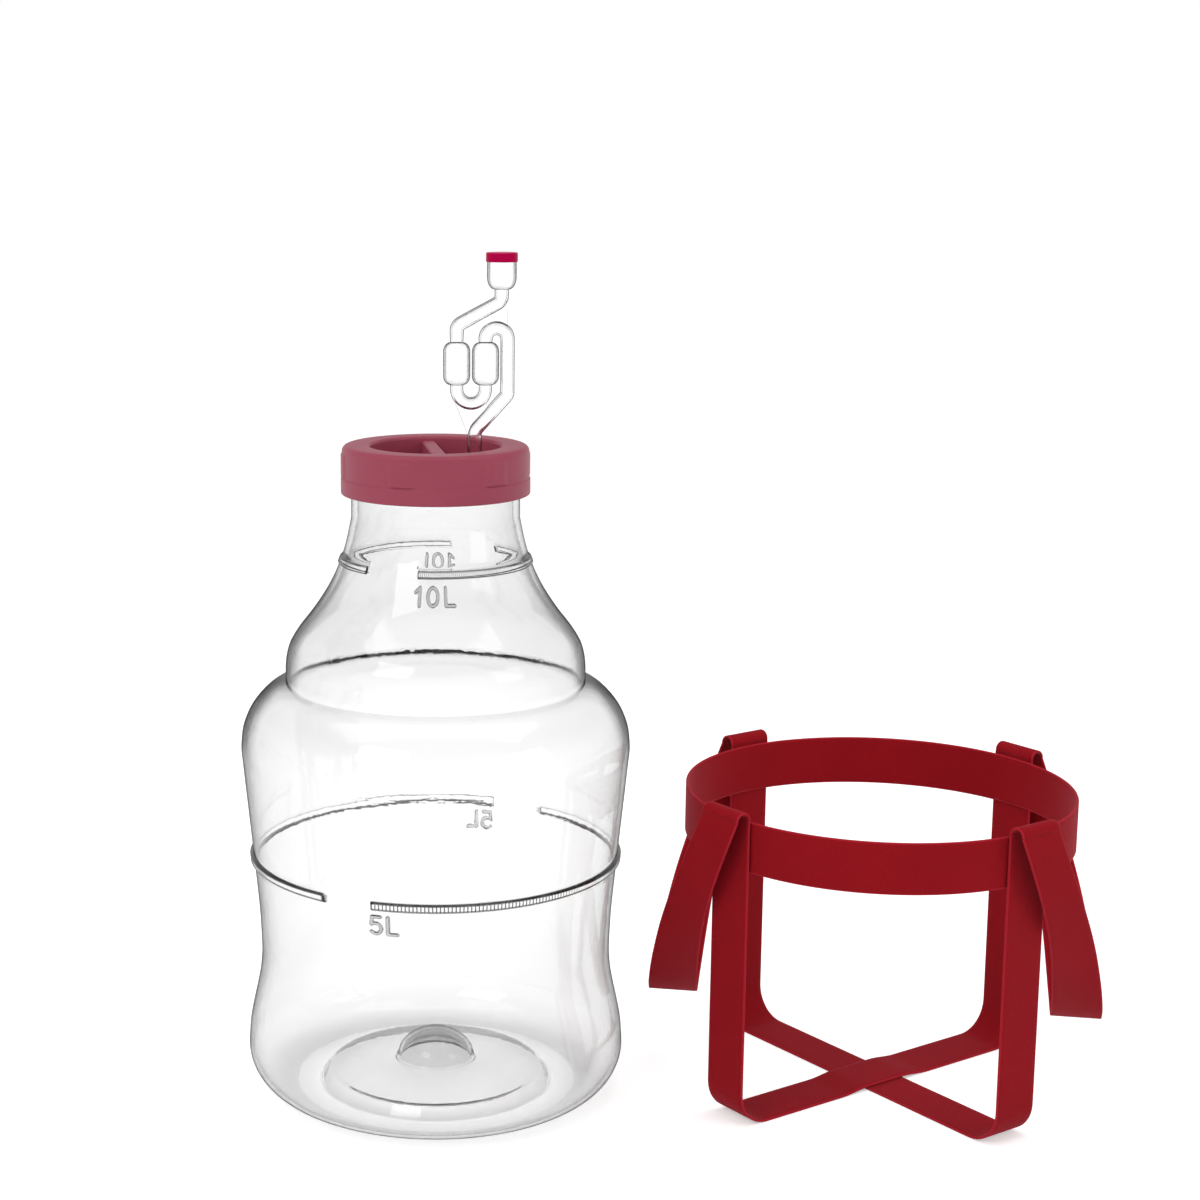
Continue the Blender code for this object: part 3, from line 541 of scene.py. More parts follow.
clearBottleLook = {
    "roughness": 0.02,
    "ior": 1.45,
    # Tones and grey coat weights by facing are painted shade: grey where the wall is seen edge on, darker
    # still round the bell and at the marks
    "edgeShadeTones": ((0.0, 0.965), (0.25, 0.952), (0.45, 0.930), (0.6, 0.91), (0.75, 0.86), (0.88, 0.6)),
    "bellShadeTones": ((0.0, 0.965), (0.5, 0.95), (0.62, 0.92), (0.71, 0.74), (0.77, 0.4), (0.84, 0.26)),
    "skinShadeTint": 0.80,
    "skinShadeWeights": ((0.0, 0.20), (0.6, 0.22), (0.75, 0.34), (0.84, 0.66), (0.93, 0.90)),
    "bellShadeWeights": ((0.0, 0.20), (0.60, 0.20), (0.70, 0.50), (0.78, 0.92), (0.84, 1.0)),
    "markShadeTone": 0.012,
    "ridgeCount": 320.0,
    "ridgeShade": 1.2,
    "strokeShade": 0.66,
    "domeShade": 0.22,
    "creaseMiddle": 0.22,
    "lightLetThrough": 0.9,
    "waveScale": 60.0,
    "waveStrength": 0.12,
    "waveDepth": 0.0006,
}

bottleMiddle = middleOf("bottle")
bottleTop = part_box("bottle")[1].z
neckStart = bottleTop - bottleSizes["neckLength"]


# (height, radius) points between two (radius, height) ones, from shares of the climb and the change
def sharesBetween(start, end, shares):
    run, rise = end[0] - start[0], end[1] - start[1]
    return [(start[1] + rise * climb, start[0] + run * change) for climb, change in shares]


# The outer side's two smooth stretches as (height, radius) points, meeting in a crease at the groove
def bottleStretches():
    sizes = bottleSizes
    belly, waist = sizes["belly"], sizes["waist"]
    shoulder, groove = sizes["shoulder"], sizes["groove"]
    neck = (sizes["neckRadius"], neckStart)
    waveShares = [(step / 5, (1 - cos(pi * step / 5)) / 2) for step in range(1, 5)]
    lower = [belly[::-1]] + sharesBetween(belly, waist, waveShares)
    lower += [waist[::-1]] + sharesBetween(waist, shoulder, sizes["waistShares"])
    lower += [shoulder[::-1]] + sharesBetween(shoulder, groove, sizes["shoulderShares"])
    lower += [groove[::-1]]
    upper = [groove[::-1]] + sharesBetween(groove, neck, sizes["bellShares"]) + [neck[::-1]]
    return lower, upper


def sideRadius(heights):
    lower, upper = bottleStretches()
    grooveHeight = bottleSizes["groove"][1]
    below = smoothThrough(lower, np.minimum(heights, grooveHeight))
    above = smoothThrough(upper, np.maximum(heights, grooveHeight))
    return np.where(heights <= grooveHeight, below, above)


# Points moved inwards, square to their line, by a wall for each
def setIn(points, walls):
    courses = [(Vector(end) - Vector(start)).normalized() for start, end in zip(points, points[1:])]
    courses = [courses[0]] + courses + [courses[-1]]
    moved = []
    for point, wall, behind, ahead in zip(points, walls, courses, courses[1:]):
        middle = (behind + ahead).normalized()
        reach = wall / middle.dot(ahead)
        moved.append((point[0] - middle.y * reach, point[1] + middle.x * reach))
    return moved


def ringRelief(ring, heights, turns):
    across = np.abs(heights - ring["height"])[:, None] / ring["thickness"]
    section = softStep((0.5 - across) / volumeMarks["ringEdge"])
    along = np.ones(len(turns))
    for start, end in ring["gaps"]:
        outside = np.abs(turnsFrom((start + end) / 2, turns)) - (end - start) / 2
        along = np.minimum(along, softStep(outside / volumeMarks["endTaperDeg"]))
    return ring["rise"] * section * along[None, :]


def distanceToStrokes(across, up, strokes):
    nearest = np.full(across.shape, np.inf)
    for stroke in strokes:
        for start, end in zip(stroke, stroke[1:]):
            run = np.array(end) - np.array(start)
            share = ((across - start[0]) * run[0] + (up - start[1]) * run[1]) / (run @ run)
            share = np.clip(share, 0, 1)
            gap = np.hypot(across - start[0] - run[0] * share, up - start[1] - run[1] * share)
            nearest = np.minimum(nearest, gap)
    return nearest


def figureRelief(figure, heights, turns):
    marks = volumeMarks
    tall = figure["height"] - marks["stroke"]
    wide = radians(figure["endDeg"] - figure["startDeg"]) * figure["radius"] - marks["stroke"]
    widths = [figureStrokes[letter][0] * tall for letter in figure["text"]]
    spacing = (wide - sum(widths)) / (len(widths) - 1)
    strokes = []
    left = marks["stroke"] / 2
    for letter, width in zip(figure["text"], widths):
        for stroke in figureStrokes[letter][1]:
            strokes.append([(left + x * tall, marks["stroke"] / 2 + y * tall) for x, y in stroke])
        left += width + spacing
    relief = np.zeros((len(heights), len(turns)))
    for turned in (0, 180):
        offset = turnsFrom(figure["startDeg"] + turned, turns)
        across = (np.radians(offset) * figure["radius"])[None, :] + np.zeros((len(heights), 1))
        up = (heights - figure["foot"])[:, None] + np.zeros((1, len(turns)))
        gap = distanceToStrokes(across, up, strokes)
        edge = marks["strokeEdge"]
        section = softStep((marks["stroke"] / 2 + edge / 2 - gap) / edge)
        relief = np.maximum(relief, marks["strokeRise"] * section)
    return relief


def threadRelief(heights, turns):
    thread = neckThread
    relief = np.zeros((len(heights), len(turns)))
    for start in range(thread["starts"]):
        first = thread["firstDeg"] + start * 360 / thread["starts"]
        along = (turns - first + thread["leadDeg"]) % 360 - thread["leadDeg"]
        share = along / thread["spanDeg"]
        middle = thread["lowHeight"] + (thread["highHeight"] - thread["lowHeight"]) * share
        across = (heights[:, None] - middle[None, :]) / (thread["thickness"] / 2)
        inward = np.minimum(along, thread["spanDeg"] - along)
        ends = softStep(inward / thread["taperDeg"] + thread["taperStart"])
        section = np.clip(1 - across ** 2, 0, 1) ** thread["fullness"]
        relief = np.maximum(relief, thread["rise"] * section * ends[None, :])
    return relief


def bottleTurns():
    sizes = bottleSizes
    low, high = sizes["fineTurns"]
    turns = list(np.arange(-180, 180, sizes["turnStep"]))
    for turned in (0, 180):
        turns = [turn for turn in turns if not low <= turnsFrom(turned, turn) <= high]
        fine = evenSteps(low, high, sizes["fineTurnStep"])
        turns += [turnsFrom(-turned, turn) for turn in fine]
    taper = volumeMarks["endTaperDeg"]
    for ring in volumeMarks["rings"]:
        for start, end in ring["gaps"]:
            turns += [start - taper, start, end, end + taper]
    return thinned(turns, sizes["fineTurnStep"] / 3)


# The push-up, from the top of its dome to the foot, raised by a wall for the inner side
def underLine(raised):
    sizes = bottleSizes
    floor = sizes["puntFloor"] + raised
    domeRadii = (sizes["domeRadius"] + raised, sizes["domeRise"])
    dome = arcPoints((0, floor), domeRadii, 90, sizes["domeEndDeg"], 14)
    dome[0] = (0, floor + sizes["domeRise"])
    last, before = Vector(dome[-1]), Vector(dome[-2])
    slope = (last - before).normalized()
    meeting = last + slope * ((last.y - floor) / -slope.y)
    landing = Vector((meeting.x + sizes["domeFoot"], floor))
    for step in range(1, 9):
        share = step / 8
        dome.append(tuple(last.lerp(meeting, share).lerp(meeting.lerp(landing, share), share)))
    puntEdge = sizes["footInner"] - sizes["puntStepWidth"]
    return dome + roundedPath([
        (landing.x, floor, 0),
        (puntEdge, sizes["puntStepRise"] + raised, sizes["puntStepRound"]),
        (sizes["footInner"], raised, sizes["footRound"]),
        (sizes["footOuter"], raised, 0),
    ], steps=7)[1:]


# Heights of the side's rows: close together at the figures, the rings and the groove
def sideRows(least, longest, rings, figures=()):
    sizes = bottleSizes
    span, grooveHeight = sizes["creaseSpan"], sizes["groove"][1]
    heights = evenSteps(sizes["belly"][1], neckStart, sizes["rowStep"])
    for figure in figures:
        low = figure["foot"] - volumeMarks["figureRoom"]
        high = figure["foot"] + figure["height"] + volumeMarks["figureRoom"]
        heights += evenSteps(low, high, longest)
    for ring, room in rings:
        reach = ring["thickness"] / 2 + room
        heights += evenSteps(ring["height"] - reach, ring["height"] + reach, longest)
    heights += evenSteps(grooveHeight - span, grooveHeight, sizes["creaseStep"])
    heights += evenSteps(grooveHeight, grooveHeight + span, sizes["creaseStep"])
    return thinned(heights, least)


def neckAndRim():
    sizes, thread = bottleSizes, neckThread
    radius, rounding = sizes["neckRadius"], sizes["rimRound"]
    beadHeight, halfBead = bottleTop - sizes["beadDrop"], sizes["beadHeight"] / 2
    rimHeight, mouth = bottleTop - rounding, radius - sizes["neckWall"]
    gap, step = sizes["neckGap"], sizes["neckStep"]
    plain = evenSteps(neckStart + gap, beadHeight - halfBead - gap, step)
    neck = [(radius, height) for height in plain]
    neck += arcPoints((radius, beadHeight), (sizes["beadRise"], halfBead), -90, 90, 10)
    low = thread["lowHeight"] - thread["thickness"]
    high = thread["highHeight"] + thread["thickness"]
    neck += [(radius, height) for height in evenSteps(low, high, sizes["threadStep"])]
    neck.append((radius, (high + rimHeight) / 2))
    neck += arcPoints((radius - rounding, rimHeight), (rounding, rounding), 0, 90, 4)
    neck += arcPoints((mouth + rounding, rimHeight), (rounding, rounding), 90, 180, 4)
    inner = evenSteps(neckStart + step, rimHeight - step, 2 * step)
    return neck, [(mouth, height) for height in inner[::-1]]


# The inner wall follows the outer one, with the rings hollow behind as blowing leaves them
def innerSide():
    sizes = bottleSizes
    wall, grooveHeight = sizes["bodyWall"], sizes["groove"][1]
    rings = [(ring, 0.0) for ring in volumeMarks["rings"]]
    heights = sideRows(sizes["fineStep"] / 2, sizes["innerStep"], rings)
    above = heights - grooveHeight
    walls = wall + (sizes["neckWall"] - wall) * np.clip(above / (neckStart - grooveHeight), 0, 1)
    walls -= (wall - sizes["grooveWall"]) * np.exp(-(above / sizes["creaseSpan"]) ** 2)
    return setIn(list(zip(sideRadius(heights), heights)), walls)[::-1]


# The largest of several reliefs, on some of the rows only
def laidOver(reliefs, rows):
    return np.maximum.reduce(list(reliefs)) * rows[:, None]


# Where the painted shade changes over the bottle's rows and turns
def bottleMasks(radii, heights, turns, relief, strokes, rings, underCount, isSide):
    sizes, marks = bottleSizes, volumeMarks
    rows, onSide = np.arange(len(radii)), isSide[:, None]
    angles = np.ones((len(radii), 1)) * np.radians(turns)[None, :]
    fromGroove = (heights - sizes["groove"][1])[:, None]
    rise = np.maximum(np.abs(np.gradient(heights)), marks["leastRise"])[:, None]
    run = (np.radians(np.gradient(turns)) * marks["steepRadius"])[None, :]
    slope = np.hypot(np.gradient(relief, axis=0) / rise, np.gradient(relief, axis=1) / run)
    (first, fadeIn), (last, fadeOut) = marks["ridgedTurns"]
    ridged = softStep((turns - first) / fadeIn) * softStep((last - turns) / fadeOut)
    shares = [ring["ridged"] / ring["rise"] for ring in marks["rings"]]
    bands = [raised * ridged * share for raised, share in zip(rings, shares)]
    beneath = rows < underCount
    bothUnder = beneath | (rows > len(radii) - underCount)
    stepStart = sizes["footInner"] - sizes["puntStepWidth"] - marks["stepRoom"][0]
    onStep = beneath & (radii > stepStart) & (radii < sizes["footInner"] + marks["stepRoom"][1])
    domeEdge = sizes["domeRadius"] + sizes["domeFoot"]
    calm = np.exp(-(fromGroove / marks["calmReach"]) ** 2) * onSide * np.abs(np.cos(angles))
    bellStart, bellLow, bellHigh, bellEnd = marks["bellHeights"]
    bell = softStep((heights - bellStart) / (bellLow - bellStart))
    bell = bell * softStep((bellEnd - heights) / (bellEnd - bellHigh))
    # Every mask here places painted shade, except calm, which keeps the edge shade off, and the turn's
    # sine and cosine
    return {
        "steep": softStep(slope / marks["steepSlope"]) * onSide,
        "crease": np.exp(-(fromGroove / marks["creaseReach"]) ** 2) * onSide,
        "step": onStep[:, None],
        "band": laidOver(bands, isSide),
        "stroke": laidOver(strokes, isSide) / marks["strokeRise"],
        "dome": (bothUnder & (radii < domeEdge))[:, None],
        "calm": np.maximum(calm, (bothUnder & (radii > domeEdge))[:, None]),
        "bell": bell[:, None],
        "aroundSine": np.sin(angles),
        "aroundCosine": np.cos(angles),
    }


def makeBottle(material):
    sizes, marks = bottleSizes, volumeMarks
    wall, belly, fine = sizes["bodyWall"], sizes["belly"], sizes["fineStep"]
    under = underLine(0.0)
    cornerRadii = (belly[0] - sizes["footOuter"], belly[1])
    steps, middle = sizes["cornerSteps"], (sizes["footOuter"], belly[1])
    corner = arcPoints(middle, cornerRadii, -90, 0, steps)[1:-1]
    rings = [(ring, marks["ringRoom"]) for ring in marks["rings"]]
    sideHeights = sideRows(fine / 3, fine, rings, marks["figures"])
    neck, mouth = neckAndRim()
    innerRadii = (cornerRadii[0] - wall, cornerRadii[1] - wall)
    innerCorner = arcPoints(middle, innerRadii, 0, -90, steps)
    outer = under + corner + list(zip(sideRadius(sideHeights), sideHeights)) + neck
    inside = mouth + innerSide()
    profile = outer + inside + innerCorner[1:] + underLine(wall)[-2::-1]

    turns = bottleTurns()
    radii, heights = np.array(profile).T
    rows = np.arange(len(profile))
    isSide = (rows >= len(under) + len(corner)) & (rows < len(outer))
    isInner = (rows >= len(outer)) & (rows < len(outer) + len(inside))
    strokes = [figureRelief(figure, heights, turns) for figure in marks["figures"]]
    raised = [ringRelief(ring, heights, turns) for ring in marks["rings"]]
    relief = laidOver([*strokes, *raised, threadRelief(heights, turns)], isSide)
    relief += marks["innerShare"] * laidOver(raised, isInner)
    masks = bottleMasks(radii, heights, turns, relief, strokes, raised, len(under), isSide)
    bottle = lathe("clearBottle", profile, turns, bottleMiddle, material, relief, sizes["sharpDeg"], masks)
    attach(bottle, "bottle")
    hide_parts("bottle")


makeBottle(makeClearPlastic("clearBottlePlastic", clearBottleLook, isBottle=True))
print("bottle made")


# Screw cap and its seal

capSizes = {
    "wall": 0.0026,
    "ceiling": 0.003,
    "edgeRound": 0.0032,
    "recessRadius": 0.038,
    "recessDepth": 0.015,
    "recessEdgeRound": 0.0018,
    "recessWall": 0.0024,
    "recessFloor": 0.0025,
    "recessFoot": 0.001,
    "bandHeight": 0.009,
    "gripRise": 0.0007,
    "gripWidthDeg": 15.0,
    "gripCount": 6,
    "gripTurnDeg": -21.0,
    "gripEdgeDeg": 1.6,
    "barWidth": 0.008,
    "barDrop": 0.0025,
    "barTurnDeg": 6.5,
    "barRound": 0.0016,
    "threadRise": 0.0011,
    "threadDrop": 0.0042,
    "plugRound": 0.0008,
    "plugStep": 0.004,
    "smallRound": 0.0005,
    "skirtChamfer": 0.0006,
    "skirtRound": 0.0009,
    "bandSlope": 0.0009,
    "padLift": 0.0014,
    "padFade": (0.0012, 0.0016),
    "rowStep": 0.0005,
    "nearness": 0.0001,
    "holeRadius": 0.0068,
    "holeReach": (-0.006, 0.002),
    "turnCount": 240,
    "sharpDeg": 35,
}

burgundyLook = {
    "shader": {"Specular IOR Level": 0.28, "Subsurface Weight": 0.06, "Subsurface Scale": 0.002},
    "darkTone": (0.255, 0.038, 0.066),
    "lightTone": (0.310, 0.052, 0.086),
    "roughness": (0.42, 0.52),
    "grainScale": 1400.0,
    "patchScale": 18.0,
    "patchSpread": 1.2,
    "grainStrength": 0.25,
    "grainDepth": 0.0002,
}


# The bar across the well, rounded along its two upper edges
def makeGripBar(centre, foot, top, material):
    sizes = capSizes
    bar = bmesh.new()
    bmesh.ops.create_cube(bar, size=1)
    height = top - sizes["barDrop"] - foot
    length = 2 * sizes["recessRadius"] + sizes["recessWall"]
    bmesh.ops.scale(bar, vec=(sizes["barWidth"], length, height), verts=bar.verts)
    bmesh.ops.translate(bar, vec=(0, 0, foot + height / 2), verts=bar.verts)
    upper = [edge for edge in bar.edges if all(end.co.z > foot + height / 2 for end in edge.verts)]
    long = [edge for edge in upper if edge.calc_length() > sizes["barWidth"] * 2]
    bmesh.ops.bevel(bar, geom=long, offset=sizes["barRound"], segments=5, affect="EDGES", profile=0.5)
    for vertex in bar.verts:
        turned = turnedBy(vertex.co, radians(sizes["barTurnDeg"]))
        vertex.co.x, vertex.co.y = centre.x + turned.x, centre.y + turned.y
    mesh = bpy.data.meshes.new("gripBar")
    bar.to_mesh(mesh)
    bar.free()
    return addObject("gripBar", mesh, material, sizes["sharpDeg"])


def makeCap(material):
    sizes = capSizes
    low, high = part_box("screw_cap")
    middle = middleOf("bottle")
    bottom, top = low.z, high.z
    lowOuter = (high.x - low.x) / 2
    padOuter = lowOuter - sizes["gripRise"]
    skirtInner = lowOuter - sizes["wall"]
    ceiling = top - sizes["ceiling"]
    floor = top - sizes["recessDepth"]
    well, lip = sizes["recessRadius"], sizes["recessEdgeRound"]
    plug, plugFoot = well + sizes["recessWall"], floor - sizes["recessFloor"]
    bandTop, padTop = bottom + sizes["bandHeight"], top - sizes["edgeRound"]
    small, chamfer = sizes["smallRound"], sizes["skirtChamfer"]

    plugLine = divided(roundedPath([
        (0, plugFoot, 0),
        (plug, plugFoot, sizes["plugRound"]),
        (plug, ceiling, small),
        (skirtInner, ceiling, small),
        (skirtInner, bottom + chamfer, 0),
    ]), sizes["plugStep"])
    innerHeights = evenSteps(bottom + chamfer, ceiling - 2 * small, sizes["rowStep"])[::-1]
    underside = [point for point in plugLine if point[0] < skirtInner - sizes["nearness"]]
    underside += [(skirtInner, height) for height in innerHeights]
    outside = roundedPath([
        (skirtInner, bottom + chamfer, 0),
        (skirtInner + chamfer, bottom, 0),
        (lowOuter, bottom, sizes["skirtRound"]),
        (lowOuter, bandTop, small),
        (padOuter, bandTop + sizes["bandSlope"], small),
        (padOuter, padTop, 0),
    ])[1:-1]
    padHeights = evenSteps(bandTop + sizes["padLift"], padTop, sizes["rowStep"])
    pads = [(padOuter, height) for height in padHeights]
    edge = arcPoints((padOuter - sizes["edgeRound"], padTop), (sizes["edgeRound"],) * 2, 0, 90, 8)[1:]
    inWell = arcPoints((well + lip, top - lip), (lip, lip), 90, 180, 5)
    inWell += roundedPath([
        (well, top - lip - small, 0),
        (well, floor, sizes["recessFoot"]),
        (0, floor, 0),
    ])
    profile = underside + outside + pads + edge + inWell
    turns = roundTurns(sizes["turnCount"])
    radii, heights = np.array(profile).T
    relief = np.zeros((len(profile), len(turns)))

    pitch = 360 / sizes["gripCount"]
    fromPad = np.abs((turns - sizes["gripTurnDeg"] + pitch / 2) % pitch - pitch / 2)
    padAlong = softStep((sizes["gripWidthDeg"] / 2 - fromPad) / sizes["gripEdgeDeg"] + 0.5)
    rows = np.arange(len(profile))
    padStart = len(underside) + len(outside)
    isPad = (rows >= padStart) & (rows < padStart + len(pads))
    padUp = softStep((padTop - sizes["padFade"][0] - heights[isPad]) / sizes["padFade"][1] + 0.5)
    relief[isPad] = sizes["gripRise"] * padUp[:, None] * padAlong[None, :]

    # Thread lugs inside the skirt, which run below the neck's own
    isInner = (rows < len(underside)) & (radii > skirtInner - sizes["nearness"])
    lugs = threadRelief(heights[isInner] + sizes["threadDrop"] - neckThread["thickness"], turns)
    relief[isInner] = -lugs * sizes["threadRise"] / neckThread["rise"]

    cap = lathe("screwCap", profile, turns, middle, material, relief, sizes["sharpDeg"])
    combined(cap, makeGripBar(middle, floor - sizes["recessFloor"] / 2, top, material), "UNION")
    below, above = (floor + reach for reach in sizes["holeReach"])
    radius = sizes["holeRadius"]
    holeProfile = [(0, below), (radius, below), (radius, above), (0, above)]
    hole = lathe("grommetHole", holeProfile, roundTurns(48), middleOf("grommet"), material)
    combined(cap, hole, "DIFFERENCE")
    smoothed(cap.data, sizes["sharpDeg"])
    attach(cap, "screw_cap")
    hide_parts("screw_cap")


makeCap(makeMoulded("burgundyPlastic", burgundyLook))

whiteRubberLook = {
    "shader": {
        "Specular IOR Level": 0.4,
        "Subsurface Weight": 0.3,
        "Subsurface Scale": 0.003,
        "Subsurface Radius": (1.0, 1.0, 1.0),
    },
    "darkTone": (0.92, 0.92, 0.91),
    "lightTone": (0.97, 0.97, 0.96),
    "roughness": (0.40, 0.55),
    "grainScale": 1200.0,
    "patchScale": 60.0,
    "patchSpread": 1.0,
    "grainStrength": 0.2,
    "grainDepth": 0.0002,
}
whiteRubber = makeMoulded("whiteRubber", whiteRubberLook)


sealSizes = {"inner": 0.0407, "roundShare": 0.3}


def makeSeal(material):
    low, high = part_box("cap_seal")
    inner, outer = sealSizes["inner"], (high.x - low.x) / 2
    rounding = (high.z - low.z) * sealSizes["roundShare"]
    seam = ((inner + outer) / 2, low.z, 0)
    corners = [(outer, low.z), (outer, high.z), (inner, high.z), (inner, low.z)]
    profile = roundedPath([seam] + [(*corner, rounding) for corner in corners] + [seam])[:-1]
    seal = lathe("capSeal", profile, roundTurns(120), middleOf("cap_seal"), material)
    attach(seal, "cap_seal")
    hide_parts("cap_seal")


makeSeal(whiteRubber)
print("cap and seal made")


# Grommet

grommetSizes = {
    "bore": 0.0036,
    "bodyRadius": 0.0065,
    "depth": 0.0075,
    "flangeThickness": 0.0012,
    "collarRadius": 0.0063,
    "edge": 0.0005,
}


def makeGrommet(material):
    sizes = grommetSizes
    low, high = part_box("grommet")
    flangeRadius = (high.x - low.x) / 2
    flangeFoot = low.z + sizes["depth"]
    flangeTop = flangeFoot + sizes["flangeThickness"]
    edge = sizes["edge"]
    middleHeight = (low.z + high.z) / 2
    profile = roundedPath([
        (sizes["bore"], middleHeight, 0),
        (sizes["bore"], low.z, edge / 2),
        (sizes["bodyRadius"] - edge, low.z, edge),
        (sizes["bodyRadius"], low.z + 3 * edge, edge),
        (sizes["bodyRadius"] - edge / 2, flangeFoot, edge / 4),
        (flangeRadius, flangeFoot, edge),
        (flangeRadius, flangeTop, edge),
        (sizes["collarRadius"], flangeTop, edge / 3),
        (sizes["collarRadius"] - edge / 2, high.z, edge),
        (sizes["bore"], high.z, edge),
        (sizes["bore"], middleHeight, 0),
    ])[:-1]
    grommet = lathe("grommetRubber", profile, roundTurns(64), middleOf("grommet"), material)
    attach(grommet, "grommet")
    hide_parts("grommet")


makeGrommet(whiteRubber)
print("grommet made")


# Airlock: one tube from the stem's tip to the cup's mouth, in its own plane, with two flat webs

airlockSizes = {
    "wall": 0.0009,
    "tipRadius": 0.0033,
    "tipLength": 0.006,
    "tipRise": 0.0003,
    "tipStep": 0.0004,
    "lip": 0.0002,
    "leastStep": 0.0001,
    "stemRadius": 0.0039,
    "stemBendHeight": 0.0258,
    "stemBendRound": 0.008,
    "riserOffset": 0.0187,
    "riserBendHeight": 0.0467,
    "riserBendRound": 0.004,
    "archCentreHeight": 0.0786,
    "rightBulbOffset": 0.0061,
    "leftBulbOffset": -0.0104,
    "loopCentreHeight": 0.0498,
    "bulbRadius": 0.0076,
    "bulbLength": 0.0244,
    "bulbHeight": 0.0645,
    "bulbShoulder": 0.0052,
    "narrowRadius": 0.0036,
    "crossoverLow": 0.0863,
    "crossoverHigh": 0.1001,
    "crossoverRound": 0.005,
    "cupOffset": 0.0152,
    "cupRadius": 0.00825,
    "cupJoint": 0.1068,
    "cupShoulder": 0.0068,
    "height": 0.1264,
    "webThickness": 0.0012,
    "webEdge": 0.0010,
    "edgeNearness": 2e-5,
    "upperWebShares": (0.3, 0.6, 0.95),  # where the webs meet the slanting runs
    "lowerWebShares": (0.55, 0.3),
    "upperWebEndDeg": 130,
    "lowerWebDeg": (205, 315),
    "seamRise": 0.00014,
    "roundCount": 32,
    "bendSteps": 10,
}

clearAirlockLook = {
    "roughness": 0.03,
    "ior": 1.47,
    # Tones and grey coat weights by facing are painted shade: thin dark lines where the tube is seen edge
    # on, and at the webs' free edges
    "edgeShadeTones": ((0.0, 0.995), (0.48, 0.985), (0.63, 0.70), (0.75, 0.25), (0.88, 0.08)),
    "skinShadeTint": 0.74,
    "skinShadeWeights": ((0.0, 0.04), (0.44, 0.06), (0.60, 0.6), (0.72, 1.0)),
    "markShadeTone": 0.012,
    "lightLetThrough": 0.9,
    "waveScale": 220.0,
    "waveStrength": 0.015,
    "waveDepth": 0.0003,
}


def shoulderStations(offset, narrow, wide, joint, full, steps=8):
    stations = []
    for step in range(steps + 1):
        angle = pi / 2 * step / steps
        height = full + (joint - full) * cos(angle)
        stations.append(((offset, height), narrow + (wide - narrow) * sin(angle)))
    return stations


def bulbStations(offset, downward):
    sizes = airlockSizes
    low = sizes["bulbHeight"] - sizes["bulbLength"] / 2
    high = sizes["bulbHeight"] + sizes["bulbLength"] / 2
    narrow, wide, shoulder = sizes["narrowRadius"], sizes["bulbRadius"], sizes["bulbShoulder"]
    stations = shoulderStations(offset, narrow, wide, low, low + shoulder)
    stations += shoulderStations(offset, narrow, wide, high, high - shoulder)[::-1]
    return stations[::-1] if downward else stations


# Centres and outer radii along the tube
def tubeStations():
    sizes = airlockSizes
    riser, right = sizes["riserOffset"], sizes["rightBulbOffset"]
    left, cup = sizes["leftBulbOffset"], sizes["cupOffset"]
    archRound = (riser - right) / 2
    loopRound = (right - left) / 2
    archTop = sizes["archCentreHeight"] + archRound
    loopFoot = sizes["loopCentreHeight"] - loopRound
    stem, narrow = sizes["stemRadius"], sizes["narrowRadius"]
    corners = (
        (0, 0, 0, stem),
        (0, sizes["stemBendHeight"], sizes["stemBendRound"], stem),
        (riser, sizes["riserBendHeight"], sizes["riserBendRound"], stem),
        (riser, archTop, archRound, stem),
        (right, archTop, archRound, stem),
        (right, loopFoot, loopRound, narrow),
        (left, loopFoot, loopRound, narrow),
        (left, sizes["crossoverLow"], sizes["crossoverRound"], stem),
        (cup, sizes["crossoverHigh"], sizes["crossoverRound"], stem),
        (cup, sizes["height"], 0, stem),
    )
    lip = sizes["lip"]
    stations = [
        ((0, 0), sizes["tipRadius"] - lip),
        ((0, sizes["tipRise"]), sizes["tipRadius"]),
        ((0, sizes["tipLength"] - sizes["tipStep"]), sizes["tipRadius"]),
        ((0, sizes["tipLength"]), stem),
    ]
    for before, corner, after in zip(corners, corners[1:], corners[2:]):
        arc = roundedPath([before[:3], corner[:3], after[:3]], sizes["bendSteps"])[1:-1]
        for point in arc:
            if (Vector(point) - Vector(stations[-1][0])).length > sizes["leastStep"]:
                stations.append((point, corner[3]))
        if corner[0] == right and corner[1] > sizes["bulbHeight"]:
            stations += bulbStations(right, downward=True)
        if corner[0] == left and corner[1] < sizes["bulbHeight"]:
            stations += bulbStations(left, downward=False)
    cupFull = sizes["cupJoint"] + sizes["cupShoulder"]
    stations += shoulderStations(cup, stem, sizes["cupRadius"], sizes["cupJoint"], cupFull)
    stations.append(((cup, sizes["height"] - lip), sizes["cupRadius"]))
    stations.append(((cup, sizes["height"]), sizes["cupRadius"] - lip))
    return stations


# A point of the airlock's own plane, moved in depth, in the frame
def inAirlock(origin, point, depth):
    return (origin.x + point[0], origin.y + depth, origin.z + point[1])


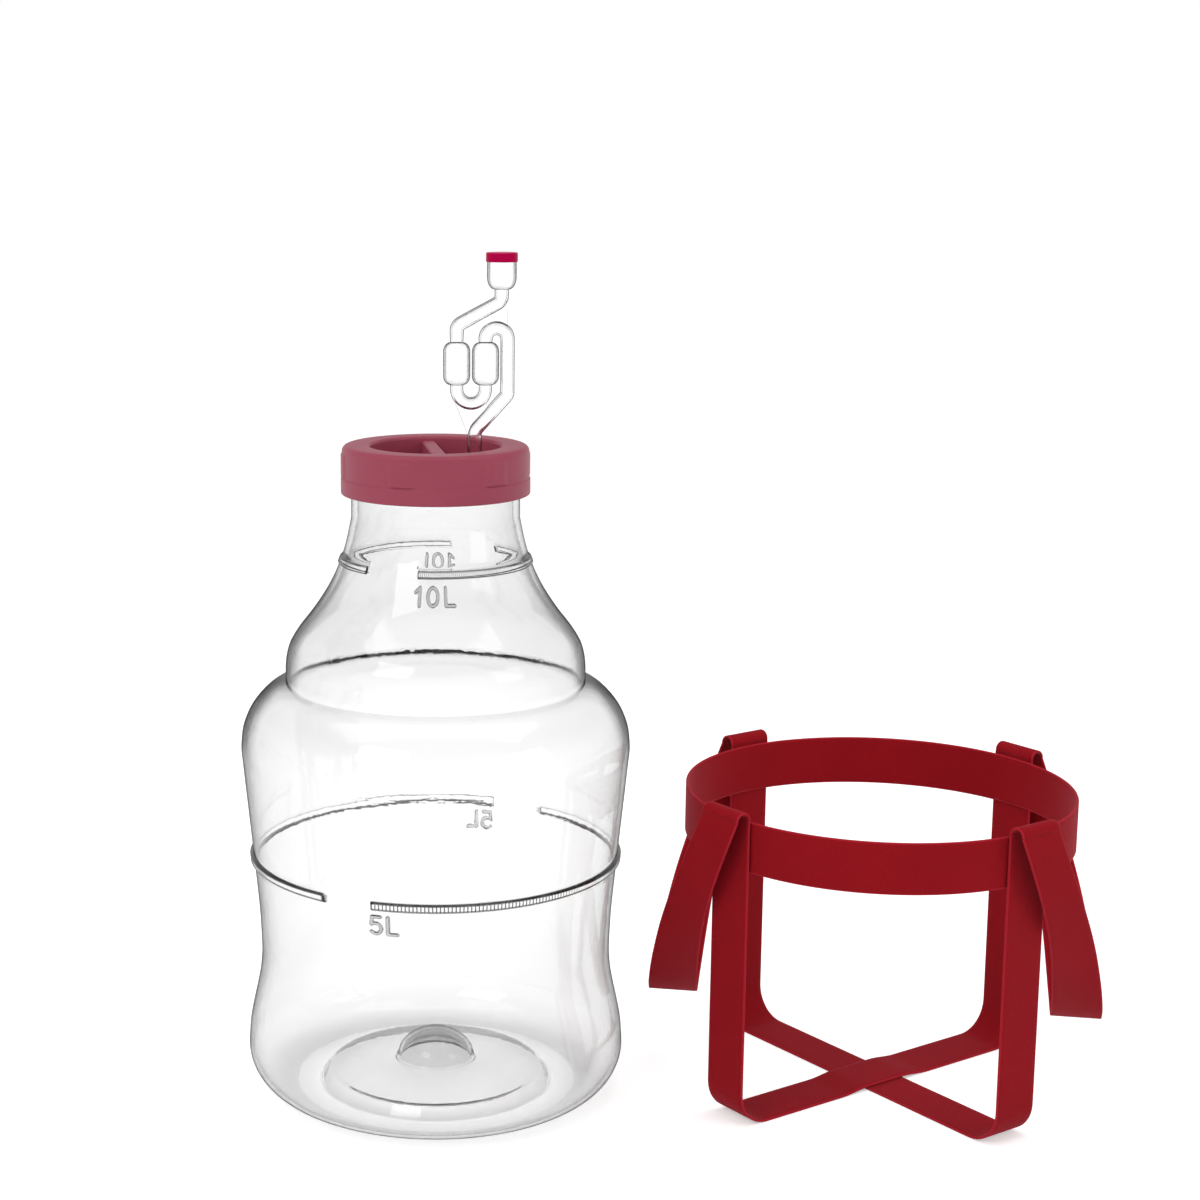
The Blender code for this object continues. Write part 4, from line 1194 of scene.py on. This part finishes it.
def sweepTube(name, stations, origin, material):
    sizes = airlockSizes
    count = sizes["roundCount"]
    centres = [Vector(station[0]) for station in stations]
    last = len(stations) - 1
    outer, inner = [], []
    for index, (centre, (_, radius)) in enumerate(zip(centres, stations)):
        ahead = (centres[min(index + 1, last)] - centre).normalized()
        behind = (centre - centres[max(index - 1, 0)]).normalized()
        along = (ahead + behind).normalized()
        across = Vector((along.y, -along.x))
        sides = ((radius, sizes["seamRise"], outer), (radius - sizes["wall"], 0.0, inner))
        for reach, seam, ring in sides:
            section = []
            for step in range(count):
                angle = 2 * pi * step / count
                full = reach + (seam if step % (count // 2) == 0 else 0.0)
                point = centre + across * (full * cos(angle))
                section.append(inAirlock(origin, point, full * sin(angle)))
            ring.append(section)
    rows = outer + inner[::-1]
    points = [point for row in rows for point in row]
    mesh = bpy.data.meshes.new(name)
    mesh.from_pydata(points, [], gridFaces(len(rows), count, wrapRows=True))
    bore = mesh.attributes.new("bore", "FLOAT", "POINT")
    bore.data.foreach_set("value", [0.0] * (len(outer) * count) + [1.0] * (len(inner) * count))
    closeMesh(mesh)
    return addObject(name, mesh, material, 50)


def besideRun(start, end, share, reach):
    along = (Vector(end) - Vector(start)).normalized()
    return tuple(Vector(start).lerp(Vector(end), share) + Vector((-along.y, along.x)) * reach)


def upperWebOutline():
    sizes = airlockSizes
    within = sizes["stemRadius"] - sizes["wall"] / 2
    archRound = (sizes["riserOffset"] - sizes["rightBulbOffset"]) / 2
    centre = (sizes["rightBulbOffset"] + archRound, sizes["archCentreHeight"])
    start = (sizes["leftBulbOffset"], sizes["crossoverLow"])
    end = (sizes["cupOffset"], sizes["crossoverHigh"])
    edge = sizes["cupOffset"] + within
    meetingDeg = degrees(acos((edge - centre[0]) / (archRound + within)))
    outline = arcPoints(centre, (archRound + within,) * 2, meetingDeg, sizes["upperWebEndDeg"], 10)
    for share in sizes["upperWebShares"]:
        outline.append(besideRun(start, end, share, -within))
    outline.append((edge, sizes["crossoverHigh"] + within))
    return outline


def lowerWebOutline():
    sizes = airlockSizes
    within = sizes["narrowRadius"] - sizes["wall"] / 2
    stemWithin = sizes["stemRadius"] - sizes["wall"] / 2
    loopRound = (sizes["rightBulbOffset"] - sizes["leftBulbOffset"]) / 2
    centre = (sizes["leftBulbOffset"] + loopRound, sizes["loopCentreHeight"])
    start = (0, sizes["stemBendHeight"])
    end = (sizes["riserOffset"], sizes["riserBendHeight"])
    outline = arcPoints(centre, (loopRound + within,) * 2, *sizes["lowerWebDeg"], 12)
    for share in sizes["lowerWebShares"]:
        outline.append(besideRun(start, end, share, stemWithin))
    outline.append((-stemWithin, sizes["stemBendHeight"] - sizes["stemRadius"]))
    return outline


# A flat web; its free edge, from the outline's last point to its first, is marked to be drawn as a thin
# line of painted shade
def makeWeb(name, outline, origin, material):
    half = airlockSizes["webThickness"] / 2
    ends = []
    for end, beside in ((outline[0], outline[1]), (outline[-1], outline[-2])):
        toward = (Vector(beside) - Vector(end)).normalized()
        ends.append(tuple(Vector(end) + toward * airlockSizes["webEdge"]))
    outline = [outline[0], ends[0]] + outline[1:-1] + [ends[1], outline[-1]]
    points = []
    for depth in (-half, half):
        points += [inAirlock(origin, point, depth) for point in outline]
    count = len(outline)
    faces = []
    for first in (0, count):
        faces.append([first + step for step in range(1, count - 1)])
        faces.append([first, first + 1, first + count - 2, first + count - 1])
    for step in range(count):
        following = (step + 1) % count
        faces.append([step, following, count + following, count + step])
    mesh = bpy.data.meshes.new(name)
    mesh.from_pydata(points, [], faces)
    closeMesh(mesh)
    return addObject(name, mesh, material, 50)


# Marks the points on the free edge of a web for its painted dark line, after it is joined to the tube
def markFreeEdge(mesh, layer, outline, origin):
    start, end = Vector(outline[-1]), Vector(outline[0])
    along = (end - start).normalized()
    for vertex in mesh.vertices:
        offset = Vector((vertex.co.x - origin.x, vertex.co.z - origin.z)) - start
        beside = abs(offset.cross(along)) < airlockSizes["edgeNearness"]
        if beside and 0 <= offset.dot(along) <= (end - start).length:
            layer.data[vertex.index].value = 1.0


def makeAirlock(material):
    low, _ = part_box("airlock_front_half")
    stem = middleOf("grommet")
    origin = Vector((stem.x, stem.y, low.z))
    tube = sweepTube("airlockTube", tubeStations(), origin, material)
    webs = {"upperWeb": upperWebOutline(), "lowerWeb": lowerWebOutline()}
    for name, outline in webs.items():
        combined(tube, makeWeb(name, outline, origin, material), "UNION")
    # The webs' free edges carry a thin line of painted shade
    layer = tube.data.attributes.new("webEdge", "FLOAT", "POINT")
    for outline in webs.values():
        markFreeEdge(tube.data, layer, outline, origin)
    smoothed(tube.data, 50)
    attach(tube, "airlock")
    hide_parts("airlock_front_half", "airlock_back_half")


makeAirlock(makeClearPlastic("clearAirlockPlastic", clearAirlockLook, isBottle=False))
print("airlock made")


# Dust cap

dustCapSizes = {"wall": 0.00055, "top": 0.001, "edge": 0.0007, "rowStep": 0.002}

magentaLook = {
    "shader": {"Specular IOR Level": 0.04, "Subsurface Weight": 0.05, "Subsurface Scale": 0.002},
    "darkTone": (0.345, 0.0, 0.043),
    "lightTone": (0.40, 0.0, 0.053),
    "roughness": (0.28, 0.38),
    "grainScale": 1500.0,
    "patchScale": 60.0,
    "patchSpread": 1.0,
    "grainStrength": 0.15,
    "grainDepth": 0.0001,
}


def makeDustCap(material):
    sizes = dustCapSizes
    low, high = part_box("dust_cap")
    outer = (high.x - low.x) / 2
    inner = outer - sizes["wall"]
    ceiling = high.z - sizes["top"]
    profile = roundedPath([
        (0, ceiling, 0),
        (inner, ceiling, sizes["wall"] / 2),
        (inner, low.z, sizes["wall"] / 3),
        (outer, low.z, sizes["wall"] / 3),
        (outer, high.z, sizes["edge"]),
        (0, high.z, 0),
    ])
    profile = divided(profile, sizes["rowStep"])
    dustCap = lathe("dustCap", profile, roundTurns(72), middleOf("dust_cap"), material, sharpDeg=30)
    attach(dustCap, "dust_cap")
    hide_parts("dust_cap")


makeDustCap(makeMoulded("magentaPlastic", magentaLook))
print("dust cap made")


# Harness of flat webbing

harnessSizes = {
    "width": 0.030,
    "thickness": 0.0014,
    "gap": 0.0003,
    "clearance": 0.0005,
    "turnDeg": -11.0,
    "hoopTop": 0.184,
    "foldHeight": 0.1855,
    "foldRadius": 0.0045,
    "baseBendRadius": 0.020,
    "rampLength": 0.020,
    "handleReach": 0.120,
    "handleBottom": 0.048,
    "step": 0.003,
    "faceCount": 10,
    "edgeCount": 3,
}

# Drop, distance to the middle and outward reach along half a handle
handleShares = (
    (0.0, 1.0, 0.0),
    (0.12, 0.98, 0.18),
    (0.32, 0.86, 0.46),
    (0.54, 0.64, 0.71),
    (0.76, 0.38, 0.88),
    (0.92, 0.16, 0.97),
    (1.0, 0.0, 1.0),
)

webbingLook = {
    "shader": {
        "Specular IOR Level": 0.08,
        "Sheen Weight": 0.12,
        "Sheen Roughness": 0.45,
        "Sheen Tint": (0.85, 0.06, 0.16, 1.0),
    },
    "threadTone": (0.300, 0.0045, 0.010),
    "gapTone": (0.200, 0.0028, 0.006),
    "edgeTone": (0.400, 0.016, 0.030),
    "edgeStart": 0.0141,
    "edgeShare": 0.6,
    "fuzzScale": 2600.0,
    "fuzzShare": 0.25,
    "patchScale": 22.0,
    "roughness": (0.62, 0.80),
    "ribPitch": 0.0016,
    "pickPitch": 0.0011,
    "weaveStrength": 0.55,
    "weaveDepth": 0.00018,
}


# Plain weave over the strip's own width and length, which its UV map gives in metres
def makeWebbing(look):
    material, tree, shader = startMaterial("redWebbing", look["shader"])
    strip = addNode(tree, "ShaderNodeUVMap", uv_map="strip").outputs["UV"]
    split = addNode(tree, "ShaderNodeSeparateXYZ", {"Vector": strip}).outputs
    rib = mathNode(tree, "SINE", multiplied(tree, split["X"], 2 * pi / look["ribPitch"]))
    pick = mathNode(tree, "SINE", multiplied(tree, split["Y"], 2 * pi / look["pickPitch"]))
    height = mathNode(tree, "ADD", multiplied(tree, multiplied(tree, rib, pick), 0.5), 0.5)
    place = addNode(tree, "ShaderNodeTexCoord").outputs["Object"]
    fuzz = multiplied(tree, noiseNode(tree, place, look["fuzzScale"]), look["fuzzShare"])
    rough = mathNode(tree, "ADD", multiplied(tree, height, 1 - look["fuzzShare"]), fuzz)
    patch = mathNode(tree, "ADD", noiseNode(tree, place, look["patchScale"]), 0.5)
    tones = (*look["gapTone"], 1), (*look["threadTone"], 1)
    tone = mixColours(tree, multiplied(tree, rough, patch), *tones)
    fromMiddle = mathNode(tree, "ABSOLUTE", split["X"])
    selvedge = mathNode(tree, "GREATER_THAN", fromMiddle, look["edgeStart"])
    edge = multiplied(tree, selvedge, look["edgeShare"])
    low, high = look["roughness"]
    feed(tree, shader, {
        "Base Color": mixColours(tree, edge, tone, (*look["edgeTone"], 1)),
        "Roughness": mathNode(tree, "ADD", multiplied(tree, height, low - high), high),
        "Normal": bumpNode(tree, rough, look["weaveStrength"], look["weaveDepth"]),
    })
    return material


redWebbing = makeWebbing(webbingLook)
hoopMiddle = middleOf("hoop_band")
harnessTurn = radians(harnessSizes["turnDeg"])
hoopRadius = bottleSizes["belly"][0] + harnessSizes["clearance"] + harnessSizes["thickness"] / 2
uprightRadius = hoopRadius + harnessSizes["thickness"] + harnessSizes["gap"]
foldAxisRadius = uprightRadius + harnessSizes["foldRadius"]


# From the harness's own axes to the frame's
def placed(point):
    x, y = point.x, point.y
    return Vector((
        hoopMiddle.x + x * cos(harnessTurn) - y * sin(harnessTurn),
        hoopMiddle.y + x * sin(harnessTurn) + y * cos(harnessTurn),
        point.z,
    ))


# (radius, height) points in the upright plane at a bearing, and the level direction across it
def inPlane(points, bearingDeg):
    outward = Vector((cos(radians(bearingDeg)), sin(radians(bearingDeg)), 0))
    centres = [outward * radius + Vector((0, 0, height)) for radius, height in points]
    return centres, [Vector((-outward.y, outward.x, 0))] * len(centres)


# Evenly spaced centres along a polyline, with the direction of the width carried along
def respaced(centres, acrosses, step):
    lengths = [0.0]
    for start, end in zip(centres, centres[1:]):
        lengths.append(lengths[-1] + (end - start).length)
    count = max(4, round(lengths[-1] / step))
    newCentres, newAcrosses = [], []
    for position in np.linspace(0, lengths[-1], count + 1):
        index = min(int(np.searchsorted(lengths, position, side="right")) - 1, len(centres) - 2)
        share = (position - lengths[index]) / (lengths[index + 1] - lengths[index])
        newCentres.append(centres[index].lerp(centres[index + 1], share))
        newAcrosses.append(acrosses[index].lerp(acrosses[index + 1], share).normalized())
    return newCentres, newAcrosses


# The webbing's flat section with round edges, as (across, outward)
def webbingSection():
    sizes = harnessSizes
    half, thick = sizes["width"] / 2, sizes["thickness"] / 2
    straight = half - thick
    section = []
    for side in (1, -1):
        acrosses = np.linspace(-side * straight, side * straight, sizes["faceCount"])
        section += [(across, side * thick) for across in acrosses]
        for step in range(1, sizes["edgeCount"] + 1):
            angle = side * pi / 2 - pi * step / (sizes["edgeCount"] + 1)
            section.append((side * straight + thick * cos(angle), thick * sin(angle)))
    return section


def makeStrip(name, centres, acrosses, closed=False):
    section = webbingSection()
    rowCount = len(centres)
    points, uvs = [], []
    travelled = 0.0
    for index, (centre, across) in enumerate(zip(centres, acrosses)):
        if closed:
            along = centres[(index + 1) % (rowCount - 1)] - centres[(index - 1) % (rowCount - 1)]
        else:
            along = centres[min(index + 1, rowCount - 1)] - centres[max(index - 1, 0)]
        if index:
            travelled += (centre - centres[index - 1]).length
        outward = along.cross(across).normalized()
        for offset, lift in section:
            points.append(placed(centre + across * offset + outward * lift))
            uvs.append((offset, travelled))
    faces = gridFaces(rowCount, len(section))
    if not closed:
        faces.append(list(range(len(section)))[::-1])
        faces.append([(rowCount - 1) * len(section) + step for step in range(len(section))])
    mesh = bpy.data.meshes.new(name)
    mesh.from_pydata(points, [], faces)
    layer = mesh.uv_layers.new(name="strip")
    corners = np.zeros(len(mesh.loops), dtype=np.int32)
    mesh.loops.foreach_get("vertex_index", corners)
    layer.data.foreach_set("uv", np.array(uvs, dtype=np.float32)[corners].ravel())
    closeMesh(mesh)
    strip = addObject(name, mesh, redWebbing, 50)
    strip.visible_glossy = False  # the photographed bottle doesn't mirror the harness
    return strip, travelled


def makeHoop():
    sizes = harnessSizes
    count = round(2 * pi * hoopRadius / sizes["step"])
    height = sizes["hoopTop"] - sizes["width"] / 2
    angles = [2 * pi * (step % count) / count for step in range(count + 1)]
    sides = [(hoopRadius * cos(angle), hoopRadius * sin(angle)) for angle in angles]
    centres = [Vector((*side, height)) for side in sides]
    hoop, length = makeStrip("hoopWebbing", centres, [Vector((0, 0, 1))] * (count + 1), closed=True)
    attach(hoop, "harness")
    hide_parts("hoop_band")


def makeBaseStrap(name, node, bearingDeg, lifted):
    sizes = harnessSizes
    rest = sizes["thickness"] / 2
    bend = sizes["baseBendRadius"]
    half = [(uprightRadius, sizes["foldHeight"] - sizes["gap"])]
    half += arcPoints((uprightRadius - bend, rest + bend), (bend, bend), 0, -90, 20)
    if lifted:
        crest = rest + sizes["thickness"] + sizes["gap"]
        crestHalf = sizes["width"] / 2 + sizes["gap"]
        for share in np.linspace(0, 1, 11):
            height = rest + (crest - rest) * float(softStep(share))
            half.append((crestHalf + sizes["rampLength"] * (1 - share), height))
    otherHalf = [(-radius, height) for radius, height in reversed(half)]
    centres, acrosses = inPlane(half + otherHalf, bearingDeg)
    strap, length = makeStrip(name, *respaced(centres, acrosses, sizes["step"]))
    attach(strap, "harness")
    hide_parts(node)


def makeFold(name, node, bearingDeg):
    sizes = harnessSizes
    arc = arcPoints((foldAxisRadius, sizes["foldHeight"]), (sizes["foldRadius"],) * 2, 180, 0, 20)
    fold, length = makeStrip(name, *inPlane(arc, bearingDeg))
    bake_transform(fold)
    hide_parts(node)


# A smooth curve through a table of shares, read at a position from 0 to 1
def blendedShares(shares, position):
    spans = len(shares) - 1
    index = min(int(position * spans), spans - 1)
    local = position * spans - index
    before, start = Vector(shares[max(index - 1, 0)]), Vector(shares[index])
    end, after = Vector(shares[index + 1]), Vector(shares[min(index + 2, spans)])
    return eased(start, (end - before) / 2, end, (after - start) / 2, local)


def makeHandle(name, node, side):
    sizes = harnessSizes
    startReach = (foldAxisRadius + sizes["foldRadius"]) * cos(pi / 4)
    top = sizes["foldHeight"] - sizes["gap"]
    drop = top - sizes["handleBottom"]
    half = []
    for step in range(61):
        fall, back, out = blendedShares(handleShares, step / 60)
        turn = pi / 4 * (1 - fall * fall)
        centre = Vector((
            side * (startReach + (sizes["handleReach"] - startReach) * out),
            -startReach * back,
            top - drop * fall,
        ))
        half.append((centre, Vector((cos(turn), side * sin(turn), 0))))
    centres = [centre for centre, _ in half]
    acrosses = [across for _, across in half]
    for centre, across in reversed(half[:-1]):
        centres.append(Vector((centre.x, -centre.y, centre.z)))
        acrosses.append(Vector((across.x, -across.y, 0)))
    handle, length = makeStrip(name, *respaced(centres, acrosses, sizes["step"]))
    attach(handle, node)
    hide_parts(node)


makeHoop()
makeBaseStrap("frontLeftStrap", "strap_front_left_to_back_right", 45, lifted=True)
makeBaseStrap("frontRightStrap", "strap_front_right_to_back_left", 135, lifted=False)
makeFold("backRightFold", "fold_back_right", 45)
makeFold("backLeftFold", "fold_back_left", 135)
makeFold("frontLeftFold", "fold_front_left", 225)
makeFold("frontRightFold", "fold_front_right", 315)
makeHandle("leftHandle", "handle_left", -1)
makeHandle("rightHandle", "handle_right", 1)
print("harness made")


# Studio: pale floor, white surroundings, soft lamps and the photograph's camera

studio = {
    "floorSize": 60.0,
    "floorTone": 0.88,
    "floorGlow": 0.40,
    "floorGlowThrough": 0.50,
    "ambient": 0.72,
    "whiteBelow": 0.22,
    "dimAbove": 0.66,
    "dimLevel": 0.12,
    "lamps": (
        # name, place, width and height, watts, seen in reflections
        ("keyLamp", (-1.3, -1.5, 1.7), (1.1, 1.1), 16.0, False),
        ("fillLamp", (1.8, -1.1, 1.2), (1.0, 1.0), 8.0, False),
        ("softbox", (-0.18, -0.12, 1.55), (2.2, 0.8), 6.5, True),
    ),
    "aim": (-0.18, 0.0, 0.2),
}

cameraView = {
    "lens": 69.41,
    "sensor": 36.0,
    "elevationDeg": 11.33,
    "distance": 1.3536,
    "aimHeight": 0.2966,
    "shiftX": 0.137,
}


def makeFloor():
    half = studio["floorSize"] / 2
    mesh = bpy.data.meshes.new("floor")
    corners = [(-half, -half, 0), (half, -half, 0), (half, half, 0), (-half, half, 0)]
    mesh.from_pydata(corners, [], [(0, 1, 2, 3)])
    material, tree, shader = startMaterial("paleFloor", {
        "Base Color": grey(studio["floorTone"]),
        "Roughness": 0.9,
        "Emission Strength": 1.0,
    })
    lightPath = addNode(tree, "ShaderNodeLightPath").outputs
    seen = largest(tree, lightPath["Is Camera Ray"], lightPath["Is Glossy Ray"])
    direct = mixColours(tree, seen, grey(0), grey(studio["floorGlow"]))
    through = grey(studio["floorGlowThrough"])
    glow = mixColours(tree, lightPath["Is Transmission Ray"], direct, through)
    feed(tree, shader, {"Emission Color": glow})
    floor = addObject("floor", mesh, material, 40)


def makeWorld():
    world = bpy.data.worlds.new("studioWorld")
    world.use_nodes = True
    tree = world.node_tree
    lightPath = addNode(tree, "ShaderNodeLightPath").outputs
    direction = addNode(tree, "ShaderNodeTexCoord").outputs["Generated"]
    height = addNode(tree, "ShaderNodeSeparateXYZ", {"Vector": direction}).outputs["Z"]
    stops = ((studio["whiteBelow"], 1), (studio["dimAbove"], studio["dimLevel"]))
    bent = largest(tree, lightPath["Is Glossy Ray"], lightPath["Is Transmission Ray"])
    other = mixColours(tree, bent, grey(studio["ambient"]), greyRamp(tree, stops, height))
    colour = mixColours(tree, lightPath["Is Camera Ray"], other, grey(1))
    feed(tree, tree.nodes["Background"], {"Color": colour})
    bpy.context.scene.world = world


def pointAt(item, target):
    item.rotation_euler = (Vector(target) - item.location).to_track_quat("-Z", "Y").to_euler()


def makeLamps():
    for name, place, extents, power, mirrored in studio["lamps"]:
        light = bpy.data.lights.new(name, "AREA")
        light.shape = "RECTANGLE"
        light.size, light.size_y = extents
        light.energy = power
        lamp = linked(name, light)
        lamp.location = place
        lamp.visible_glossy = mirrored
        pointAt(lamp, studio["aim"])


def makeCamera():
    data = bpy.data.cameras.new("photoCamera")
    data.lens = cameraView["lens"]
    data.sensor_width = cameraView["sensor"]
    data.shift_x = cameraView["shiftX"]
    camera = linked("photoCamera", data)
    elevation = radians(cameraView["elevationDeg"])
    aim = Vector((bottleMiddle.x, bottleMiddle.y, cameraView["aimHeight"]))
    camera.location = aim + Vector((0, -cos(elevation), sin(elevation))) * cameraView["distance"]
    pointAt(camera, aim)
    bpy.context.scene.camera = camera


makeFloor()
makeWorld()
makeLamps()
makeCamera()
bpy.context.scene.view_settings.view_transform = "Standard"
print("studio made")
